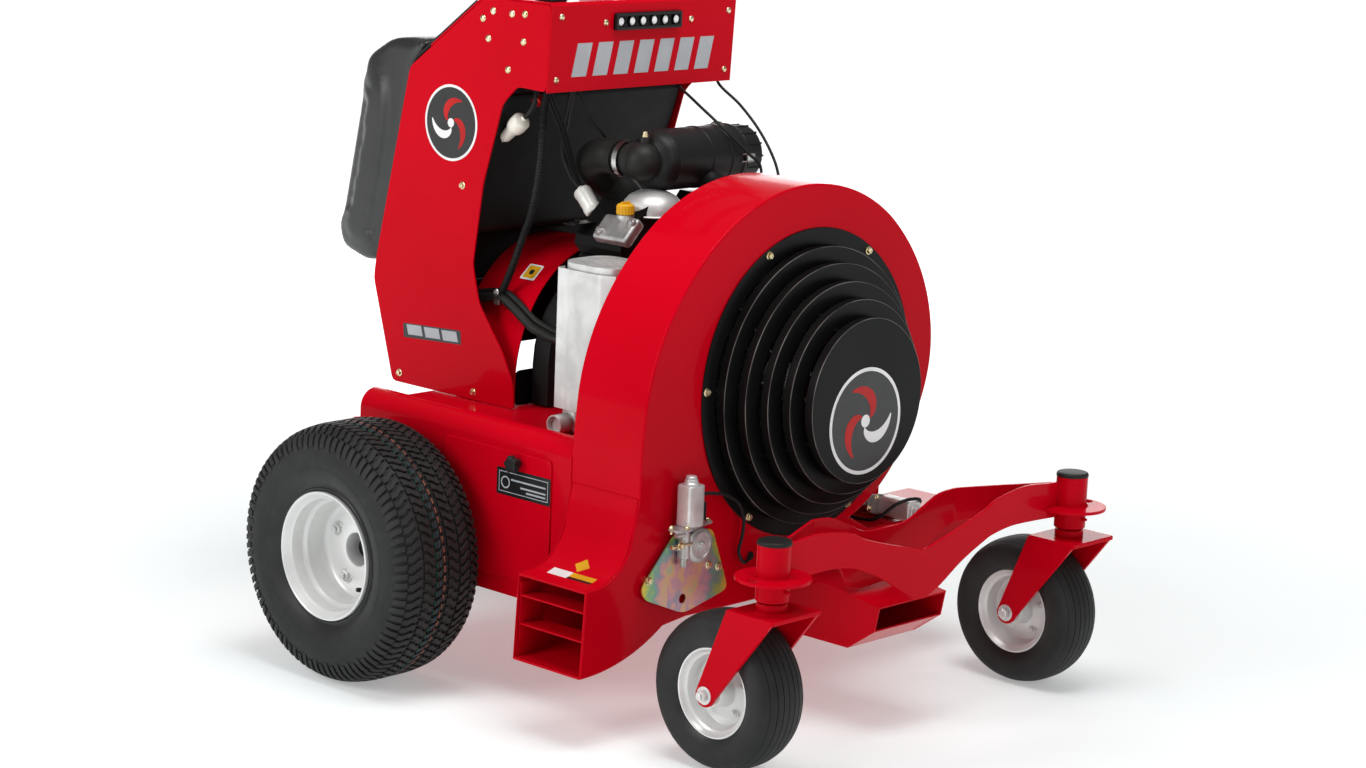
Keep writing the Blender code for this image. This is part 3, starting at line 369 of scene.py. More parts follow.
def softened(points, radius, steps=3, closed=True):
    """The outline with each corner replaced by a small curve that starts radius before it."""
    made, count = [], len(points)
    for i, corner in enumerate(points):
        if not closed and i in (0, count - 1):
            made.append(tuple(corner))
            continue
        here = Vector(corner)
        ends = []
        for other in (points[i - 1], points[(i + 1) % count]):
            along = Vector(other) - here
            ends.append(here + along * min(0.45, radius / max(along.length, 1e-9)))
        for j in range(steps + 1):
            t = j / steps
            made.append(tuple(ends[0] * (1 - t) ** 2 + here * 2 * t * (1 - t) + ends[1] * t ** 2))
    return made


def arc(u, v, radius, start, end, count):
    angles = [math.radians(start + (end - start) * i / (count - 1)) for i in range(count)]
    return [(u + radius * math.cos(a), v + radius * math.sin(a)) for a in angles]


def circle(u, v, radius, count=32):
    return arc(u, v, radius, 0, 360 - 360 / count, count)


def smooth_route(points, each=6):
    points = [Vector(p) for p in points]
    made = []
    for i in range(len(points) - 1):
        before, a, b = points[max(i - 1, 0)], points[i], points[i + 1]
        after = points[min(i + 2, len(points) - 1)]
        for j in range(each):
            t = j / each
            made.append(0.5 * (2 * a + (b - before) * t + (2 * before - 5 * a + 4 * b - after) * t ** 2
                               + (3 * a - before - 3 * b + after) * t ** 3))
    return made + [points[-1]]


def mitred(path, i, closed):
    """The vector at a path's point that offsets it by one to the right."""
    count = len(path)
    here = Vector(path[i])
    normals = []
    for j, k in ((i - 1, i), (i, i + 1)):
        if not closed and (j < 0 or k >= count):
            continue
        along = Vector(path[k % count]) - Vector(path[j % count])
        if along.length > 1e-9:
            normals.append(Vector((along.y, -along.x)).normalized())
    if not normals:
        return here * 0
    total = sum(normals, Vector((0, 0)))
    if len(normals) == 1:
        return normals[0]
    return total / max(0.35, 1 + normals[0].dot(normals[1]))


def signed_area(ring):
    return sum(a[0] * b[1] - b[0] * a[1] for a, b in zip(ring, ring[1:] + ring[:1])) / 2


def slab(rings, plane, low, high, edge=0.001):
    """A flat outline with holes, between two positions on the third axis. Its edges are rounded by one
    radius, or by one at the low side and another at the high side."""
    loops = []
    for index, ring in enumerate(rings):
        ring = [tuple(p) for p in ring]
        wants_positive = index == 0
        loops.append(ring if (signed_area(ring) > 0) == wants_positive else ring[::-1])
    most = (high - low) * 0.49
    both = edge if isinstance(edge, tuple) else (edge, edge)
    low_edge, high_edge = (min(e, most * (1 if e == edge else 2)) for e in both)
    levels = [(low + d, inset) for d, inset in rounding(low_edge)]
    levels += [(high - d, inset) for d, inset in rounding(high_edge)[::-1]]
    points, faces = [], []
    for loop in loops:
        inward = [-mitred(loop, i, True) for i in range(len(loop))]
        count, start = len(loop), len(points)
        for depth, inset in levels:
            for point, way in zip(loop, inward):
                points.append(Vector(lift(Vector(point) + way * inset, plane, depth)))
        for level in range(len(levels) - 1):
            for i in range(count):
                a, b = start + level * count + i, start + level * count + (i + 1) % count
                faces.append([a, b, b + count, a + count])
    order, offset = [], 0
    for loop in loops:
        order += [(offset, i, len(loop)) for i in range(len(loop))]
        offset += len(loop) * len(levels)
    for level in (0, len(levels) - 1):
        inset = levels[level][1]
        flat = [[Vector((*(Vector(p) - mitred(loop, i, True) * inset), 0)) for i, p in enumerate(loop)]
                for loop in loops]
        for triangle in tessellate_polygon(flat):
            a, b, c = ([v for ring in flat for v in ring][i] for i in triangle)
            if abs((b - a).cross(c - a).z) > 1e-12:
                faces.append([order[i][0] + level * order[i][2] + order[i][1] for i in triangle])
    return points, faces


def rounding(edge):
    """How deep and how far in each ring of a rounded edge lies, from the flat face outwards."""
    if not edge:
        return [(0, 0)]
    steps = 4 if edge > 0.002 else 2
    turns = [math.pi / 2 * i / steps for i in range(steps + 1)]
    return [(0, edge * 1.3)] + [(edge * (1 - math.cos(a)), edge * (1 - math.sin(a))) for a in turns]


def bent(path, plane, low, high, thickness=0.003, edge=0.0007):
    """A sheet bent along a path in a plane, on the path's right, across a span of the third axis."""
    edge = min(edge, thickness * 0.48)
    section = []
    for s, d, start in ((high - edge, edge, -90), (high - edge, thickness - edge, 0),
                        (low + edge, thickness - edge, 90), (low + edge, edge, 180)):
        section += [(s + edge * math.cos(math.radians(start + 45 * k)),
                     d + edge * math.sin(math.radians(start + 45 * k)))
                    for k in range(3)]
    points, faces = [], []
    size = len(section)
    for i, point in enumerate(path):
        right = mitred(path, i, False)
        for s, d in section:
            points.append(Vector(lift(Vector(point) + right * d, plane, s)))
    for i in range(len(path) - 1):
        for j in range(size):
            k = (j + 1) % size
            faces.append([i * size + j, i * size + k, (i + 1) * size + k, (i + 1) * size + j])
    faces += [list(range(size)), [(len(path) - 1) * size + j for j in range(size)]]
    return points, faces


def pipe(route, radius, sides=16):
    """A round tube along a route. The radius may be a function of the share of its length."""
    route = [Vector(p) for p in route]
    lengths = [0.0]
    for a, b in zip(route, route[1:]):
        lengths.append(lengths[-1] + (b - a).length)
    size = radius if callable(radius) else lambda share: radius
    along = [(route[min(i + 1, len(route) - 1)] - route[max(i - 1,
                                                            0)]).normalized() for i in range(len(route))]
    side = along[0].orthogonal().normalized()
    points, faces = [], []
    for i, (here, way) in enumerate(zip(route, along)):
        side = (side - way * side.dot(way)).normalized()
        other = way.cross(side)
        r = size(lengths[i] / lengths[-1])
        for j in range(sides):
            a = 2 * math.pi * j / sides
            points.append(here + (side * math.cos(a) + other * math.sin(a)) * r)
    for i in range(len(route) - 1):
        for j in range(sides):
            k = (j + 1) % sides
            faces.append([i * sides + j, i * sides + k, (i + 1) * sides + k, (i + 1) * sides + j])
    return points, faces + [list(range(sides)), [(len(route) - 1) * sides + j for j in range(sides)]]


def box(low, high, edge=0.0, segments=2):
    form = bmesh.new()
    bmesh.ops.create_cube(form, size=1)
    low, high = Vector(low), Vector(high)
    for v in form.verts:
        v.co = Vector([(a + b) / 2 + c * (b - a) for a, b, c in zip(low, high, v.co)])
    if edge:
        bmesh.ops.bevel(form, geom=form.edges[:], offset=edge, segments=segments, profile=0.5, affect="EDGES")
    form.verts.index_update()
    shape = [v.co.copy() for v in form.verts], [[v.index for v in f.verts] for f in form.faces]
    form.free()
    return shape


def ball(centre, radius, squeeze=(1, 1, 1), steps=24):
    count = steps // 2
    profile = [(radius * math.sin(math.pi * i / count),
                radius * math.cos(math.pi * i / count)) for i in range(count + 1)]
    profile[0], profile[-1] = (0, radius), (0, -radius)
    return moved(lathe(profile, steps), Matrix.Translation(Vector(centre)) @ Matrix.Diagonal((*squeeze, 1)))


def hex_bolt(at, direction, across=0.010, washer=True, thread=0.0):
    """A bolt's head: a washer face, a chamfered hexagon and a shallow dish, or a nut with its thread end."""
    r = across / 2 / math.cos(math.pi / 6)
    h = across * 0.55
    shapes = []
    if washer:
        shapes.append(lathe([(0, h * 0.28), (r * 0.98, h * 0.28), (r * 1.32, h * 0.14), (r * 1.34, 0),
                             (0, 0)], 20))
    head = [(0, h * 0.88), (r * 0.52, h * 0.88), (r * 0.58, h), (r * 0.84, h), (r, h * 0.86), (r, h * 0.2),
            (0, h * 0.2)]
    shapes.append(lathe(head, 6))
    if thread:
        turns = 4
        rib = [(0, h + thread)] + [(across * (0.27 if i % 2 else 0.30), h + thread * (1 - i / (2 * turns)))
                                   for i in range(2 * turns)] + [(across * 0.27, h * 0.5), (0, h * 0.5)]
        shapes.append(lathe(rib, 12))
    return moved(merged(*shapes), facing(direction, at))


def dome_bolt(at, direction, radius=0.0075):
    rise = radius * 0.52
    profile = [(0, rise)] + [(radius * math.sin(a), rise * math.cos(a)) for a in (0.35, 0.7, 1.05, 1.35)]
    return moved(lathe(profile + [(radius, 0), (0, 0)], 18), facing(direction, at))


def weld(route, radius=0.0022, seed=1):
    """A bead of small overlapping ripples, with a little spatter beside it."""
    dice = random.Random(seed)
    route = smooth_route(route, 8)
    total = sum((b - a).length for a, b in zip(route, route[1:]))
    ripples = max(3, int(total / (radius * 1.1)))
    fine = []
    for i in range(ripples * 3 + 1):
        spot = i / (ripples * 3) * (len(route) - 1)
        k = min(int(spot), len(route) - 2)
        fine.append(route[k].lerp(route[k + 1], spot - k))
    bead = pipe(fine, lambda share: radius * (1 + 0.16 * math.sin(share * ripples * 2 * math.pi)), 8)
    drops = [ball(dice.choice(fine) + Vector([dice.uniform(-3, 3) * radius for _ in range(3)]),
                  radius * dice.uniform(0.18, 0.34), steps=6) for _ in range(max(1, ripples // 6))]
    return merged(bead, *drops)


def piece(name, shape, paint, body="machine", crease=38, stands_for=()):
    """A shape as an object that rides on a CAD body, and may stand for CAD nodes."""
    mesh = bpy.data.meshes.new(name)
    form = bmesh.new()
    points, faces = shape
    made = [form.verts.new(p) for p in points]
    for face in faces:
        try:
            form.faces.new([made[i] for i in dict.fromkeys(face)])
        except ValueError:
            continue
    bmesh.ops.remove_doubles(form, verts=form.verts, dist=1e-6)
    bmesh.ops.recalc_face_normals(form, faces=form.faces)
    form.to_mesh(mesh)
    form.free()
    mesh.shade_smooth()
    mesh.set_sharp_from_angle(angle=math.radians(crease))
    mesh.materials.append(paint.data)
    thing = bpy.data.objects.new(name, mesh)
    SCENE.collection.objects.link(thing)
    thing.modifiers.new("flat_faces_stay_flat", "WEIGHTED_NORMAL").keep_sharp = True
    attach(thing, body)
    if stands_for:
        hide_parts(*([stands_for] if isinstance(stands_for, str) else stands_for))
    return thing


def dress(paint, *names, edge=0.0):
    """A CAD node keeps its shape and gets its finish, with its edges eased."""
    for name in names:
        node = NODES[name]
        for holder in node.material_slots:
            holder.material = paint.data
        if "custom_normal" in node.data.attributes:
            node.data.attributes.remove(node.data.attributes["custom_normal"])
        node.data.shade_smooth()
        join = node.modifiers.new("join", "WELD")
        join.merge_threshold = 2e-5
        if edge:
            ease = node.modifiers.new("ease", "BEVEL")
            ease.width = edge
            ease.segments = 2
            ease.limit_method = "ANGLE"
            ease.angle_limit = math.radians(38)
            node.modifiers.new("flat_faces_stay_flat", "WEIGHTED_NORMAL")
        else:
            split = node.modifiers.new("split", "EDGE_SPLIT")
            split.split_angle = math.radians(38)


# Blower housing


def scroll_radius(angle):
    """The housing's radius at an angle from +X, on a smooth curve through the stations in SCROLL."""
    angles = [a for a, _ in SCROLL]
    last = len(SCROLL) - 2
    i = min(max(sum(a <= angle for a in angles) - 1, 0), last)
    a0, r0 = SCROLL[i]
    a1, r1 = SCROLL[i + 1]
    slope_in = (r1 - SCROLL[i - 1][1]) / (a1 - SCROLL[i - 1][0]) if i else (r1 - r0) / (a1 - a0)
    slope_out = (SCROLL[i + 2][1] - r0) / (SCROLL[i + 2][0] - a0) if i < last else (r1 - r0) / (a1 - a0)
    width = a1 - a0
    t = (angle - a0) / width
    return (r0 * (2 * t ** 3 - 3 * t ** 2 + 1) + slope_in * width * (t ** 3 - 2 * t ** 2 + t)
            + r1 * (3 * t ** 2 - 2 * t ** 3) + slope_out * width * (t ** 3 - t ** 2))


def wrap_path():
    """The housing's outer edge from the end of the left duct, over the fan, to the right mouth."""
    path = [(DUCT_END_X, DUCT_TOP), (0.2, DUCT_TOP)]
    first, last, count = SCROLL[0][0], SCROLL[-1][0], 110
    for i in range(count):
        angle = first + (last - first) * i / (count - 1)
        radius, turn = scroll_radius(angle), math.radians(angle)
        path.append((radius * math.cos(turn), FAN_Z + radius * math.sin(turn)))
    path += [(HOUSING_SIDE_X, 0.500), (HOUSING_SIDE_X, 0.433), (-0.4445, 0.372)]
    return path + arc(-0.5385, 0.3815, 0.094, -12, -78, 22)[1:] + [(MOUTH_X, MOUTH_TOP)]


def floor_path():
    dip = arc(-0.560, 0.490, 0.358, -90.5, -56, 20)
    return dip + [(-0.300, 0.2005), (-0.22, DUCT_BOTTOM), (DUCT_END_X, DUCT_BOTTOM)]


def housing():
    edge = wrap_path() + floor_path()
    window = [(-0.086, 0.214), (0.086, 0.214), (0.086, 0.288), (-0.086, 0.288)]
    rings = [edge, circle(0, FAN_Z, INTAKE_R, 72), window]
    piece("housing_face", slab(rings, "XZ", HOUSING_FRONT, HOUSING_FRONT + SHEET, (0.0036, 0)), RED,
          stands_for="housing_front_plate")
    piece("housing_rear_face", slab([edge, circle(0, FAN_Z, 0.045, 32)], "XZ", HOUSING_BACK - SHEET,
                                    HOUSING_BACK, (0, 0.0036)), RED, stands_for="housing_back_plate")
    span = (HOUSING_FRONT + SHEET - 0.0001, HOUSING_BACK - SHEET + 0.0001)
    piece("housing_scroll", bent(wrap_path()[::-1], "XZ", *span, SHEET, 0.0002), RED, crease=30,
          stands_for="housing_wrap")
    piece("housing_underside", bent(floor_path()[::-1], "XZ", *span, SHEET, 0.0002), RED, crease=30,
          stands_for="housing_floor")
    seams = []
    for y in (HOUSING_FRONT + 0.0042, HOUSING_BACK - 0.0042):
        seams.append(weld([(HOUSING_SIDE_X - 0.0006, y, 0.434), (-0.4445, y, 0.372), (-0.462, y, 0.327),
                           (-0.490, y, 0.302), (-0.519, y, 0.2895), (MOUTH_X + 0.006, y, MOUTH_TOP + 0.0004)],
                          0.0013, 3))
    seams.append(weld([(HOUSING_SIDE_X - 0.0002, HOUSING_FRONT + 0.008, 0.4335),
                       (HOUSING_SIDE_X - 0.0002, HOUSING_BACK - 0.008, 0.4335)], 0.0012, 5))
    piece("housing_welds", merged(*seams), RED, crease=80)
    mouth_labels()
    dress(RED, "right_discharge_louvers", "front_chute", edge=0.0007)
    dress(RED, "right_deflector", "left_deflector", edge=0.0006)
    dress(STEEL, "impeller", "crankshaft", edge=0.0005)


def intake_grille():
    """Stacked rings on four posts, each ring a flat flange with a short lip, and a flat cap in front."""
    at = (0, HOUSING_FRONT, FAN_Z)
    steps = ((0.256, 0.029), (0.231, 0.057), (0.204, 0.086), (0.178, 0.115), (0.151, 0.144))
    sag = 0.075
    wall, lip, overlap = 0.0022, 0.017, 0.010
    shapes, edges = [], []
    base = [(0.2530, 0.0005), (GRILLE_R - 0.0008, 0.0005), (GRILLE_R, 0.0014), (GRILLE_R, 0.0026),
            (GRILLE_R - 0.0009, 0.0036), (0.2530, 0.0036)]
    shapes.append(turned(base, -Y, at, 112, ring=True))
    for index, (radius, height) in enumerate(steps):
        is_cap = index == len(steps) - 1
        at = (0, HOUSING_FRONT, FAN_Z - sag * height)
        inner = 0.0 if is_cap else steps[index + 1][0] - overlap
        foot = height - lip
        bend = 0.0012
        outside = [(radius, foot)] + [(radius - bend + bend * math.cos(a), height - bend + bend * math.sin(a))
                                      for a in (0, 0.5, 1.1, math.pi / 2)]
        ring = outside + [(inner, height), (inner, height - wall), (radius - bend, height - wall),
                          (radius - wall, height - bend), (radius - wall, foot)]
        shapes.append(turned(ring, -Y, at, 112, ring=True))
        # A thin pale ring on each rim's rounded edge: a painted highlight.
        edges.append(turned([(radius - 0.0011, height + 0.0001), (radius - 0.0007, height + 0.0001),
                             (radius + 0.0001, height - 0.0006), (radius + 0.0001, height - 0.0011),
                             (radius - 0.0010, height - 0.0011)], -Y, at, 112, ring=True))
    for angle in (27, 117, 207, 297):
        c, s = math.cos(math.radians(angle)), math.sin(math.radians(angle))
        for (_, h0), (r1, h1) in zip(((0.272, 0.002),) + steps[:-1], steps):
            spot = Vector((c * (r1 - 0.004), 0, s * (r1 - 0.004)))
            low = Vector(at) + spot - Y * (h0 - 0.002)
            high = Vector(at) + spot - Y * (h1 - 0.003)
            shapes.append(pipe([low, high], 0.0035, 10))
    piece("grille_rings", merged(*shapes), BLACK, crease=30, stands_for="intake_grille")
    # The pale rim rings are a painted highlight along the rounded sheet edges.
    piece("grille_painted_edge_highlights", merged(*edges), PAINTED_EDGE_HIGHLIGHT, crease=30)
    bolts = []
    for angle in (57, 117, 177, 237, 297, 357):
        a = math.radians(angle)
        bolts.append(hex_bolt((0.2745 * math.cos(a), HOUSING_FRONT - 0.0036, FAN_Z + 0.2745 * math.sin(a)),
                              -Y, 0.0105))
    piece("grille_bolts", merged(*bolts), ZINC)
    shield_badge("cap_badge", (-0.004, 0.5440), 0.196, "XZ", HOUSING_FRONT - 0.144, -1)


def mouth_labels():
    """Four plain stickers, one of them a diamond, bent round the curve above the mouth."""
    centre, radius = (-0.5385, 0.3815), 0.0943
    for name, pointed, angle, low_y, high_y, along, paint in (
            ("mouth_label_pale", False, -74, -0.294, -0.246, 0.026, DECAL_WHITE),
            ("mouth_label_yellow", False, -70, -0.352, -0.294, 0.013, YELLOW),
            ("mouth_label_dark", False, -78, -0.352, -0.294, 0.013, DECAL_BLACK),
            ("mouth_label_diamond", True, -54, -0.316, -0.280, 0.030, YELLOW)):
        half = math.degrees(along / 2 / radius)
        points = []
        for lift_by in (-0.0003, 0.0004):
            for turn in (-half, -half / 2, 0, half / 2, half):
                a = math.radians(angle + turn)
                r = radius - lift_by
                share = max(0.08, 1 - abs(turn) / half) if pointed else 1.0
                middle, reach = (low_y + high_y) / 2, (high_y - low_y) / 2 * share
                for y in (middle - reach, middle + reach):
                    points.append((centre[0] + r * math.cos(a), y, centre[1] + r * math.sin(a)))
        faces = []
        for i in range(4):
            a, b = 2 * i, 10 + 2 * i
            faces += [[a, a + 1, a + 3, a + 2], [b, b + 1, b + 3, b + 2], [a, a + 2, b + 2, b],
                      [a + 1, a + 3, b + 3, b + 1]]
        faces += [[0, 1, 11, 10], [8, 9, 19, 18]]
        piece(name, (points, faces), paint)


def swirl(u, v, radius, turn, count=26):
    """One of three curved vanes of the round badge."""
    outer, inner = [], []
    for i in range(count):
        t = i / (count - 1)
        a = math.radians(turn + 105 * t)
        r = radius * (0.20 + 0.72 * t)
        thick = radius * 0.15 * math.sin(math.pi * min(1, t * 0.9 + 0.1)) + radius * 0.02
        outer.append((u + (r + thick) * math.cos(a), v + (r + thick) * math.sin(a)))
        inner.append((u + (r - thick) * math.cos(a), v + (r - thick) * math.sin(a)))
    return outer + inner[::-1]


def shield_badge(name, centre, width, plane, depth, way):
    """A plain round badge: a white rim, a black field and three red and white fan vanes."""
    u, v = centre
    radius = width / 2
    skin = 0.00025

    def layer(level, ring_list):
        low, high = sorted((depth + way * 0.00005, depth + way * skin * level))
        return slab(ring_list, plane, low, high, 0)

    piece(f"{name}_rim", layer(1, [circle(u, v, radius, 72)]), DECAL_WHITE)
    piece(f"{name}_field", layer(2, [circle(u, v, radius * 0.93, 72)]), DECAL_BLACK)
    vanes = [layer(3, [swirl(u, v, radius * 0.78, turn)]) for turn in (20, 140, 260)]
    piece(f"{name}_vanes", merged(vanes[0], vanes[1]), CAP_RED)
    piece(f"{name}_pale_vane", merged(vanes[2], layer(3, [circle(u, v, radius * 0.12, 32)])), DECAL_WHITE)


# Actuators


def gear_motor(name, shape_to_frame):
    """The deflector's gear motor, drawn in the right actuator's place and carried to its own."""

    def put(suffix, shape, paint, crease=38, stands_for=()):
        piece(f"{name}_{suffix}", moved(shape, shape_to_frame), paint, crease=crease, stands_for=stands_for)

    front = -0.389
    x, z = GATE
    face = front - 0.003
    gear = [(0, 0.0215), (0.0215, 0.0215), (0.0224, 0.0228), (0.0242, 0.0228), (0.0252, 0.0215),
            (0.0294, 0.0205), (0.0318, 0.0180), (0.0323, 0.0160), (0.0323, 0.0005), (0, 0.0005)]
    shapes = [turned(gear, -Y, (x, face, z), 56)]
    hub = [(0, 0.0270), (0.0050, 0.0270), (0.0062, 0.0260), (0.0070, 0.0235), (0.0100, 0.0228),
           (0.0105, 0.0210), (0, 0.0210)]
    shapes.append(turned(hub, -Y, (x, face, z), 32))
    for turn in (35, 125, 215, 305):
        a = math.radians(turn)
        shapes.append(turned([(0, 0.0262), (0.0016, 0.0262), (0.0024, 0.0250), (0.0024, 0.0210), (0, 0.0210)],
                             -Y, (x + 0.0068 * math.cos(a), face, z + 0.0068 * math.sin(a)), 12))
    worm = softened([(-0.3480, -0.3925), (-0.3290, -0.3925), (-0.3290, -0.4140), (-0.3480, -0.4140)], 0.008,
                    4)
    shapes.append(slab([worm], "XY", 0.3180, 0.3780, 0.003))
    shapes.append(turned([(0, 0.016), (0.0055, 0.016), (0.0065, 0.012), (0.0065, 0.002), (0.0085, 0), (0, 0)],
                         -Z, (-0.3385, -0.4040, 0.3190), 24))
    for height in (0.3640, 0.3420):
        shapes.append(turned([(0, 0.020), (0.0050, 0.020), (0.0058, 0.0185), (0.0058, 0), (0, 0)], -X,
                             (-0.3440, -0.4080, height), 22))
    put("gearbox", merged(*shapes), CAST)
    flange = softened([(-0.386, -0.4060), (-0.360, -0.3960), (-0.312, -0.3945), (-0.277, -0.4010),
                       (-0.277, -0.4160), (-0.318, -0.4250), (-0.350, -0.4360), (-0.386, -0.4330)], 0.007, 4)
    put("flange", slab([flange], "XY", 0.3755, 0.3795, 0.0008), CAST)
    body = [(-0.3545, -0.3975), (-0.3465, -0.3935), (-0.3235, -0.3935), (-0.3155, -0.3975),
            (-0.3155, -0.4275), (-0.3235, -0.4315), (-0.3465, -0.4315), (-0.3545, -0.4275)]
    body = softened(body, 0.0035, 3)
    can = [slab([body], "XY", 0.3790, 0.4530, 0.0026)]
    can.append(turned([(0, 0.0160), (0.0085, 0.0160), (0.0096, 0.0150), (0.0098, 0.0118), (0.0090, 0.0108),
                       (0.0112, 0.0096), (0.0118, 0.0080), (0.0118, 0.0050), (0.0140, 0.0030), (0.0142, 0),
                       (0, 0)], Z,
                      (-0.335, -0.4125, 0.4526), 36))
    put("motor", merged(*can), HOT)
    screws = [hex_bolt((-0.3810, -0.4120, 0.3795), Z, 0.0085),
              hex_bolt((-0.2830, -0.4080, 0.3795), Z, 0.0085),
              hex_bolt((-0.3600, -0.4300, 0.3795), Z, 0.0080),
              pipe([(-0.3810, -0.4120, 0.370), (-0.3810, -0.4120, 0.386)], 0.0026, 10),
              pipe([(-0.3800, -0.4150, 0.346), (-0.330, -0.4150, 0.346)], 0.0026, 10),
              hex_bolt((-0.3600, -0.4160, 0.346), -Y, 0.0095),
              hex_bolt((-0.3780, -0.4150, 0.346), -X, 0.0080, washer=False)]
    put("motor_screws", merged(*screws), ZINC)
    clip = box((-0.3160, -0.4190, 0.385), (-0.2990, -0.4010, 0.418), 0.002)
    put("connector", merged(clip, pipe(smooth_route([(-0.3135, -0.412, 0.417), (-0.312, -0.412, 0.427),
                                                     (-0.302, -0.412, 0.432)],
                                                    6), 0.0028, 10)), PLASTIC)


def right_actuator():
    front = -0.389
    corners = [(-0.350, 0.362), (-0.432, 0.274), (-0.421, 0.253), (-0.328, 0.215), (-0.310, 0.214),
               (-0.213, 0.237), (-0.208, 0.247), (-0.252, 0.357)]
    rings = [softened(corners, 0.012, 5), circle(-0.324, 0.240, 0.0085, 28)]
    piece("right_actuator_plate", slab(rings, "XZ", front - 0.003, front, 0.0006), CHROMATE,
          stands_for="right_actuator")
    gear_motor("right_actuator", Matrix())
    places = ((-0.260, 0.292), (-0.234, 0.2845), (-0.413, 0.2865))
    bolts = [hex_bolt((bx, front - 0.003, bz), -Y, 0.010) for bx, bz in places]
    spacers = [pipe([(bx, front + 0.0001, bz), (bx, HOUSING_FRONT, bz)], 0.0065, 16) for bx, bz in places]
    piece("right_actuator_bolts", merged(*bolts, *spacers), ZINC)
    lead = [(-0.309, -0.412, 0.429), (-0.296, -0.412, 0.431), (-0.270, -0.410, 0.427),
            (-0.245, -0.404, 0.421), (-0.223, -0.400, 0.413), (-0.195, -0.400, 0.396),
            (-0.180, -0.400, 0.366), (-0.180, -0.399, 0.336), (-0.186, -0.397, 0.308),
            (-0.176, -0.394, 0.289), (-0.160, -0.390, 0.279), (-0.137, -0.384, 0.286)]
    grommet = turned([(0, 0.004), (0.006, 0.004), (0.008, 0.002), (0.008, 0), (0, 0)], -Y,
                     (-0.137, HOUSING_FRONT, 0.286))
    piece("right_actuator_lead", merged(pipe(smooth_route(lead, 8), 0.0031, 12), grommet), LOOM)


def left_actuator():
    base = DUCT_TOP + 0.0005
    corners = [(0.265, -0.262), (0.292, -0.322), (0.321, -0.366), (0.345, -0.372), (0.405, -0.330),
               (0.430, -0.268), (0.415, -0.236), (0.285, -0.236)]
    piece("left_actuator_plate", slab([softened(corners, 0.012, 5)], "XY", base, base + 0.003, 0.0006),
          CHROMATE, stands_for="left_actuator")
    # On the right the motor stands on its bracket. Here the bracket lies on the duct, motor towards -Y.
    x, z = GATE
    onto = Matrix.Translation((VANE[0], VANE[1], base + 0.003)) @ Matrix((
        (1, 0, 0, 0), (0, 0, -1, 0), (0, -1, 0, 0), (0, 0, 0, 1))) @ Matrix.Translation((-x, 0.392, -z))
    gear_motor("left_actuator", onto)
    places = ((0.300, -0.250), (0.345, -0.356), (0.408, -0.256))
    bolts = [hex_bolt((bx, by, base + 0.003), Z, 0.010) for bx, by in places]
    piece("left_actuator_bolts", merged(*bolts), ZINC)
    lead = [(0.316, -0.390, 0.309), (0.322, -0.398, 0.318), (0.310, -0.408, 0.330), (0.282, -0.404, 0.333),
            (0.258, -0.390, 0.322), (0.246, -0.372, 0.302), (0.240, -0.350, 0.290), (0.232, -0.310, 0.2885),
            (0.215, -0.262, 0.296)]
    piece("left_actuator_lead", pipe(smooth_route(lead, 8), 0.0034, 12), LOOM)


# Front beam and casters


BEAM_TOP = ((0, 0.337), (0.04, 0.346), (0.10, 0.361), (0.17, 0.382), (0.20, 0.396), (0.26, 0.407),
            (0.30, 0.410), (0.36, 0.405), (0.387, 0.404))
BEAM_BOTTOM = ((0, 0.246), (0.04, 0.258), (0.11, 0.298), (0.175, 0.326), (0.193, 0.332), (0.247, 0.340),
               (0.31, 0.340), (0.387, 0.337))
REAR_BEAM_TOP = ((0, 0.358), (0.06, 0.361), (0.11, 0.382), (0.15, 0.398), (0.20, 0.402), (0.388, 0.402))
REAR_BEAM_BOTTOM = ((0, 0.258), (0.09, 0.262), (0.13, 0.310), (0.20, 0.338), (0.388, 0.340))


def eased(edge, x):
    """The height of an edge at x on a smooth curve through its points, level at the machine's middle."""
    points = [(-edge[1][0], edge[1][1])] + list(edge) + [(edge[-1][0] + 0.03, edge[-1][1])]
    i = max(j for j in range(1, len(points) - 2) if points[j][0] <= x or j == 1)
    (xa, za), (x0, z0), (x1, z1), (xb, zb) = points[i - 1:i + 3]
    t = (x - x0) / (x1 - x0)
    m0, m1 = (z1 - za) / (x1 - xa), (zb - z0) / (xb - x0)
    w = x1 - x0
    return (z0 * (2 * t ** 3 - 3 * t ** 2 + 1) + m0 * w * (t ** 3 - 2 * t ** 2 + t)
            + z1 * (3 * t ** 2 - 2 * t ** 3) + m1 * w * (t ** 3 - t ** 2))


def beam_plate(name, top, bottom, plan, end, node):
    """A plate that stands on edge across the machine, bent in plan, with rounded edges."""
    half, round_off, count = 0.003, 0.0012, 60
    columns = [end * (i / count) for i in range(-count, count + 1)]
    points, faces = [], []
    for x in columns:
        ahead = plan(min(abs(x) + 0.002, end)) - plan(max(abs(x) - 0.002, 0))
        slope = ahead / 0.004 * (1 if x > 0 else -1)
        across = Vector((-slope, 1, 0)).normalized()
        low, high = eased(bottom, abs(x)), eased(top, abs(x))
        middle = Vector((x, plan(abs(x)), 0))
        for side, level in ((-1, high), (1, high), (1, low), (-1, low)):
            inward = -1 if level == high else 1
            corner = [(side * half, level + inward * round_off), (side * (half - round_off * 0.3), level
                      + inward * round_off * 0.3), (side * (half - round_off), level)]
            order = corner if (side == -1) == (level == high) else corner[::-1]
            points += [middle + across * d + Z * z for d, z in order]
    size = 12
    for i in range(len(columns) - 1):
        for j in range(size):
            k = (j + 1) % size
            faces.append([i * size + j, i * size + k, (i + 1) * size + k, (i + 1) * size + j])
    faces += [list(range(size)), [(len(columns) - 1) * size + j for j in range(size)]]
    piece(name, (points, faces), RED, crease=32, stands_for=node)


